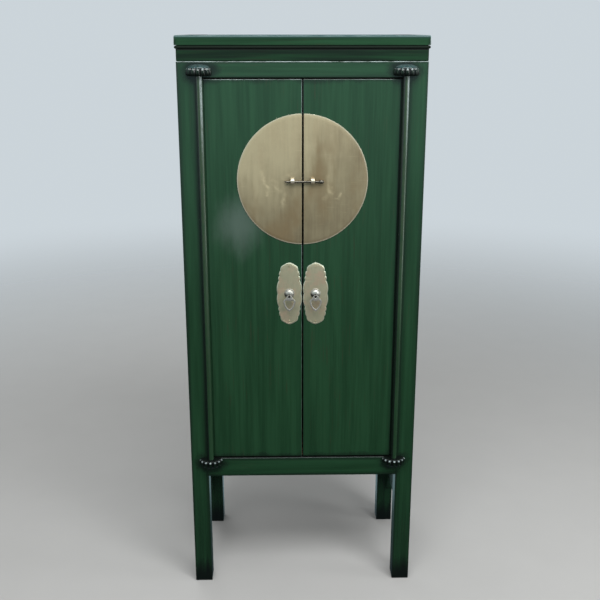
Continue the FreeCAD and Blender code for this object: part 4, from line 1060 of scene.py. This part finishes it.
class CABINET_OT_pull_plates(bpy.types.Operator):
    """Cut and engrave the two scalloped plates behind the pulls"""

    bl_idname = "cabinet.pull_plates"
    bl_label = "Pull Plates"

    # Outline of a plate, as in the solid: a quarter from the upper point down to the waist, each stretch
    # an arc through a middle point to an end point, in shares of the half width and half height.
    ARCS = (
        ((0.22, 0.975), (0.42, 0.93)),
        ((0.615, 0.88), (0.7, 0.745)),
        ((0.815, 0.66), (0.785, 0.575)),
        ((0.88, 0.5), (0.835, 0.43)),
        ((1.0, 0.2), (0.94, 0.0)),
    )
    ARC_STEPS = 8
    EDGE_SHARE = 0.35  # of the plate's thickness, below the sloping rim

    def execute(self, context):
        shape = context.scene.cabinet_brasswork
        tints = context.scene.cabinet_brass
        low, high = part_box("right_pull_plate")
        middle = (low + high) / 2
        middle.y = LEAF_FRONT
        half = Vector((high.x - middle.x, 0.0, high.z - middle.z))
        outline = self.outline((high.x - low.x) / 2, (high.z - low.z) / 2)
        right = front_disc("right_pull_plate_engraved", len(outline), half.x, middle)
        close_mesh()
        for vertex in right.data.vertices:
            away = vertex.co - middle
            share = math.atan2(away.x, away.z) / (2 * math.pi) % 1.0
            across, rise = outline[round(share * len(outline)) % len(outline)]
            vertex.co = middle + Vector((across, 0.0, rise))
        open_mesh()
        edge = self.EDGE_SHARE * (LEAF_FRONT - low.y)
        slope = LEAF_FRONT - low.y - edge
        line = shape.line
        # The upright edge, the sloping rim, a flat, the engraved line and a slight swell: how far in and out.
        for inward, lift in ((0.0, edge), (shape.plate_rim, slope), (2.6 * line, 0.0), (line, -0.9 * line),
                             (line, 0.9 * line), (6.0 * line, 0.5 * line)):
            drawn_out((0.0, -lift, 0.0), (1.0 - inward / half.x, 1.0, 1.0 - inward / half.z), middle)
            half -= Vector((inward, 0.0, inward))
        close_mesh()
        rim = right.data.attributes.new("rim", "FLOAT", "POINT")
        for vertex, value in zip(right.data.vertices, rim.data):
            value.value = 1.0 if vertex.co.y > LEAF_FRONT - 1.05 * edge else 0.0
        # The pale rim: polish and a painted highlight.
        finish = brass_finish("plate_brass", tints.plate, shaded(tints.plate, 0.78), (90.0, 60.0, 30.0), 0.42,
                              polish_and_highlight=painted_rim, rim_tint=tints.plate_rim,
                              blush=(tints.blush, (42.0, 42.0, 42.0)))
        for side, piece in pair(right):
            smooth(piece, 18)
            fitted(piece, f"{side}_door", "aged_brass", finish, f"{side}_pull_plate")
        return {"FINISHED"}

    def outline(self, half_width, half_height):
        """Points of the closed outline, clockwise from the upper point as seen from the front."""
        quarter = []
        start = Vector((0.0, half_height))
        for middle, end in self.ARCS:
            points = [start] + [Vector((x * half_width, z * half_height)) for x, z in (middle, end)]
            quarter += self.arc(*points)
            start = points[2]
        lower = [Vector((p.x, -p.y)) for p in reversed(quarter[1:])]
        right_half = quarter + [Vector((start.x, 0.0))] + lower
        left_half = [Vector((-p.x, p.y)) for p in reversed(right_half[1:])]
        return right_half + [Vector((0.0, -half_height))] + left_half

    def arc(self, first, middle, last):
        """Points along the arc through three points, without the last one."""
        chord = last - first
        normal = Vector((-chord.y, chord.x)).normalized()
        bulge = (middle - first).dot(normal)
        along = (middle - first).dot(chord.normalized())
        offset = (bulge * bulge + along * along - along * chord.length) / (2 * bulge)
        centre = first + chord / 2 + normal * offset
        radius = (first - centre).length
        begin = math.atan2(first.y - centre.y, first.x - centre.x)
        sweep = math.atan2(last.y - centre.y, last.x - centre.x) - begin
        sweep = (sweep + math.pi) % (2 * math.pi) - math.pi
        turns = (begin + sweep * step / self.ARC_STEPS for step in range(self.ARC_STEPS))
        return [centre + radius * Vector((math.cos(turn), math.sin(turn))) for turn in turns]


class CABINET_OT_rosettes(bpy.types.Operator):
    """Turn the two domed rosettes under the pull posts"""

    bl_idname = "cabinet.rosettes"
    bl_label = "Rosettes"

    CORNERS = 72
    RINGS = 9
    FLANGE = 0.0009
    # Steps from the flange to the dome: how far in and how far out.
    STEPS = ((0.0004, 0.0003), (0.0012, 0.0), (0.0005, -0.0004))
    LIFT = Vector((0.0, 0.0, 0.0018))  # from the solid's place to where the dome is seen

    def execute(self, context):
        tints = context.scene.cabinet_brass
        low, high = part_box("right_rosette")
        base = Vector(((low.x + high.x) / 2, high.y, (low.z + high.z) / 2))
        right = front_disc("right_rosette_turned", self.CORNERS, (high.x - low.x) / 2, base)
        bpy.ops.mesh.extrude_region_move(TRANSFORM_OT_translate={"value": (0.0, -self.FLANGE, 0.0)})
        for inward, out in self.STEPS:
            bpy.ops.mesh.inset(thickness=inward, depth=out)
        rise = base.y - self.FLANGE - low.y
        turns = [math.pi / 2 * step / self.RINGS for step in range(self.RINGS)]
        for before, turn in zip(turns, turns[1:]):
            shrink = math.cos(turn) / math.cos(before)
            drawn_out((0.0, -rise * (math.sin(turn) - math.sin(before)), 0.0), (shrink, 1.0, shrink), base)
        bpy.ops.mesh.poke()
        close_mesh()
        for side, piece in pair(right):
            smooth(piece, 35)
            moved(piece, self.LIFT)
            centre = Vector((-base.x if side == "left" else base.x, base.y, base.z))
            # Painted shade on the lower left of each dome, under the loop.
            finish = brass_finish(
                f"{side}_rosette_brass", tints.silvery, shaded(tints.silvery, 0.75), roughness=0.42,
                metal=0.8, dents=0.03, painted_shade=dirt_below(centre))
            fitted(piece, f"{side}_door", "pale_brass", finish, f"{side}_rosette")
        return {"FINISHED"}


class CABINET_OT_drop_pulls(bpy.types.Operator):
    """Shape the shoulders of the two drop pulls and round their edges"""

    bl_idname = "cabinet.drop_pulls"
    bl_label = "Drop Pulls"

    SHOULDER_LIFT, SHOULDER_REACH = 0.0022, 0.011
    # The flanks: how far from the middle and below the top they lie, how they move and what they draw along.
    FLANK_START, FLANK_STOP, FLANK_DEPTH = 0.0060, 0.0150, 0.0185
    FLANK_OUT, FLANK_LIFT, FLANK_REACH = 0.0006, 0.0024, 0.0045

    def execute(self, context):
        tints = context.scene.cabinet_brass
        finish = brass_finish("drop_brass", shaded(tints.silvery, 0.86), shaded(tints.silvery, 0.62),
                              roughness=0.30, dents=0.05)
        for side in SIDES:
            piece = cad_copy(f"{side}_drop_pull", f"{side}_drop_pull_cast")
            self.raise_shoulders(*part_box(f"{side}_drop_pull"))
            rounded(piece, context.scene.cabinet_brasswork.softness, 4, 50)
            smooth(piece, 45)
            fitted(piece, f"{side}_pull", "pale_brass", finish, f"{side}_drop_pull")
        return {"FINISHED"}

    def raise_shoulders(self, low, high):
        """Pulls the widest part of the active drop up, and the flanks above it out to straight slopes."""
        middle = (low.x + high.x) / 2
        open_mesh()
        pick("VERT", lambda v: abs(v.co.x - middle) > 0.46 * (high.x - low.x))
        pulled((0.0, 0.0, self.SHOULDER_LIFT), self.SHOULDER_REACH)
        for way in (-1.0, 1.0):
            pick("VERT", lambda v: self.FLANK_START < way * (v.co.x - middle) < self.FLANK_STOP
                 and v.co.z > high.z - self.FLANK_DEPTH)
            pulled((self.FLANK_OUT * way, 0.0, self.FLANK_LIFT), self.FLANK_REACH)
        close_mesh()


class CABINET_OT_lock(bpy.types.Operator):
    """Forge the staples of the lock, and finish the pin, tacks and looped posts"""

    bl_idname = "cabinet.lock"
    bl_label = "Lock and Small Brass"

    def execute(self, context):
        tints = context.scene.cabinet_brass
        pale = brass_finish("staple_brass", tints.silvery, tints.bright, roughness=0.26)
        small = brass_finish("small_brass", tints.bright, tints.tarnish, roughness=0.32)
        dark = brass_finish("pin_brass", shaded(tints.dark, 1.8), tints.dark, roughness=0.34, metal=0.8)
        # Near-black posts: dark metal, and painted shade where the loop passes through the drop's eye.
        black = brass_finish("post_brass", shaded(tints.dark, 0.25), shaded(tints.dark, 0.12), roughness=0.6)
        for side in SIDES:
            piece = cad_copy(f"{side}_lock_staple", f"{side}_lock_staple_forged")
            rounded(piece, 0.7 * context.scene.cabinet_brasswork.softness, 3, 50)
            smooth(piece, 45)
            fitted(piece, f"{side}_door", "pale_brass", pale, f"{side}_lock_staple")
            use_finish(f"{side}_plate_tacks", small)
            use_finish(f"{side}_pull_post", black)
        use_finish("lock_pin", dark)
        return {"FINISHED"}


class CABINET_OT_stage(bpy.types.Operator):
    """Lay the pale floor and set the soft light and the camera"""

    bl_idname = "cabinet.stage"
    bl_label = "Floor, Light and Camera"

    MIDDLE = Vector((0.0, 0.0, 0.85))
    # Lamps by the setting of their power: place, target, width and height.
    LAMPS = {
        "sky": ((0.3, -1.8, 3.3), MIDDLE, (3.0, 1.2)),
        "key": ((2.0, -2.4, 2.0), MIDDLE, (1.2, 1.4)),
        "fill": ((-2.6, -1.9, 1.7), MIDDLE, (1.6, 2.2)),
        "back": ((-1.4, 2.9, 2.3), MIDDLE, (2.0, 1.6)),
        "strip": ((2.4, -0.5, 1.3), Vector((0.0, -0.2, 1.3)), (0.5, 1.9)),
    }
    FLOOR_CORNERS, FLOOR_RADIUS = 96, 6.0
    SENSOR_WIDTH = 36.0

    def execute(self, context):
        stage = context.scene.cabinet_stage
        context.scene.view_settings.view_transform = "Standard"
        self.lay_floor(stage)
        self.light_world(context.scene, stage)
        for name, (place, target, size) in self.LAMPS.items():
            self.add_light(f"{name}_light", place, target, size, getattr(stage, name))
        camera = bpy.data.objects.new("camera", bpy.data.cameras.new("camera"))
        camera.data.sensor_width = self.SENSOR_WIDTH
        camera.data.lens = stage.camera_lens
        camera.location = stage.camera_place
        camera.rotation_euler = (math.pi / 2 - stage.camera_down, 0.0, -stage.camera_right)
        context.scene.collection.objects.link(camera)
        context.scene.camera = camera
        return {"FINISHED"}

    def lay_floor(self, stage):
        """A round floor that fades into the surroundings."""
        floor = round_face("floor", self.FLOOR_CORNERS, self.FLOOR_RADIUS)
        finish = Finish("floor_pale")
        seen, glossy = (
            source(finish.tree, "ShaderNodeLightPath", f"Is {kind} Ray") for kind in ("Camera", "Glossy"))
        tint = finish.point.noise(6.0, 4.0).mix(shaded(stage.floor, 0.94), stage.floor)
        tint = seen.mix(shaded(stage.floor, 0.25), tint)
        alpha = finish.point.length().ramp(1.2, 5.5, 1.0, 0.0) * (1.0 - glossy)
        finish.give(Base_Color=tint, Roughness=0.8, Alpha=alpha)
        floor.data.materials.append(finish.material)

    def light_world(self, scene, stage):
        """Even light from all round, pale surroundings for the camera and a sky for gloss."""
        world = bpy.data.worlds.new("surroundings")
        world.use_nodes = True
        scene.world = world
        tree = world.node_tree
        tree.nodes.clear()
        seen, through, glossy = (source(tree, "ShaderNodeLightPath", f"Is {kind} Ray")
                                 for kind in ("Camera", "Transmission", "Glossy"))
        _, y, z = source(tree, "ShaderNodeTexCoord", "Generated").axes()
        wall = y.ramp(0.35, 0.75) * z.ramp(-0.515, -0.475, 0.0, 0.34)
        sky = z.ramp(-0.36, 0.0, 0.05, 0.5).most(wall)
        light, mirror, pale = (
            glossy.node("ShaderNodeBackground", {"Color": colour(tint), "Strength": strength})
            for tint, strength in (
                ((1.0, 1.0, 1.0), stage.ambient), (stage.gloss, sky), (stage.backdrop, 1.0)))
        both = glossy.node("ShaderNodeMixShader", {0: glossy, 1: light, 2: mirror})
        both = both.node("ShaderNodeMixShader", {0: seen.most(through), 1: both, 2: pale})
        new_node(tree, "ShaderNodeOutputWorld", {"Surface": both})

    def add_light(self, name, place, target, size, power):
        """A rectangular lamp that looks at a target."""
        lamp = bpy.data.lights.new(name, "AREA")
        lamp.shape = "RECTANGLE"
        lamp.size, lamp.size_y = size
        lamp.energy = power
        light = bpy.data.objects.new(name, lamp)
        light.location = place
        light.rotation_euler = (target - Vector(place)).to_track_quat("-Z", "Y").to_euler()
        bpy.context.scene.collection.objects.link(light)


class CABINET_PT_pieces(bpy.types.Panel):
    """The cabinet's pieces in the order they are made"""

    bl_idname = "CABINET_PT_pieces"
    bl_label = "Wedding Cabinet"
    bl_space_type = "VIEW_3D"
    bl_region_type = "UI"
    bl_category = "Cabinet"

    def draw(self, context):
        for operator in OPERATORS:
            self.layout.operator(operator.bl_idname)


SETTINGS = {
    "cabinet_lacquer": CabinetLacquer,
    "cabinet_wood": CabinetWood,
    "cabinet_brass": CabinetBrass,
    "cabinet_carving": CabinetCarving,
    "cabinet_brasswork": CabinetBrasswork,
    "cabinet_stage": CabinetStage,
}
OPERATORS = (
    CABINET_OT_lacquer,
    CABINET_OT_inner_wood,
    CABINET_OT_carved_blocks,
    CABINET_OT_half_discs,
    CABINET_OT_pull_plates,
    CABINET_OT_rosettes,
    CABINET_OT_drop_pulls,
    CABINET_OT_lock,
    CABINET_OT_stage,
)


def register():
    for name, group in SETTINGS.items():
        bpy.utils.register_class(group)
        setattr(bpy.types.Scene, name, PointerProperty(type=group))
    for operator in OPERATORS:
        bpy.utils.register_class(operator)
    bpy.utils.register_class(CABINET_PT_pieces)


def unregister():
    bpy.utils.unregister_class(CABINET_PT_pieces)
    for operator in reversed(OPERATORS):
        bpy.utils.unregister_class(operator)
    for name, group in reversed(SETTINGS.items()):
        delattr(bpy.types.Scene, name)
        bpy.utils.unregister_class(group)


def main():
    register()
    for operator in OPERATORS:
        family, step = operator.bl_idname.split(".")
        getattr(getattr(bpy.ops, family), step)()


if __name__ == "__main__":
    main()
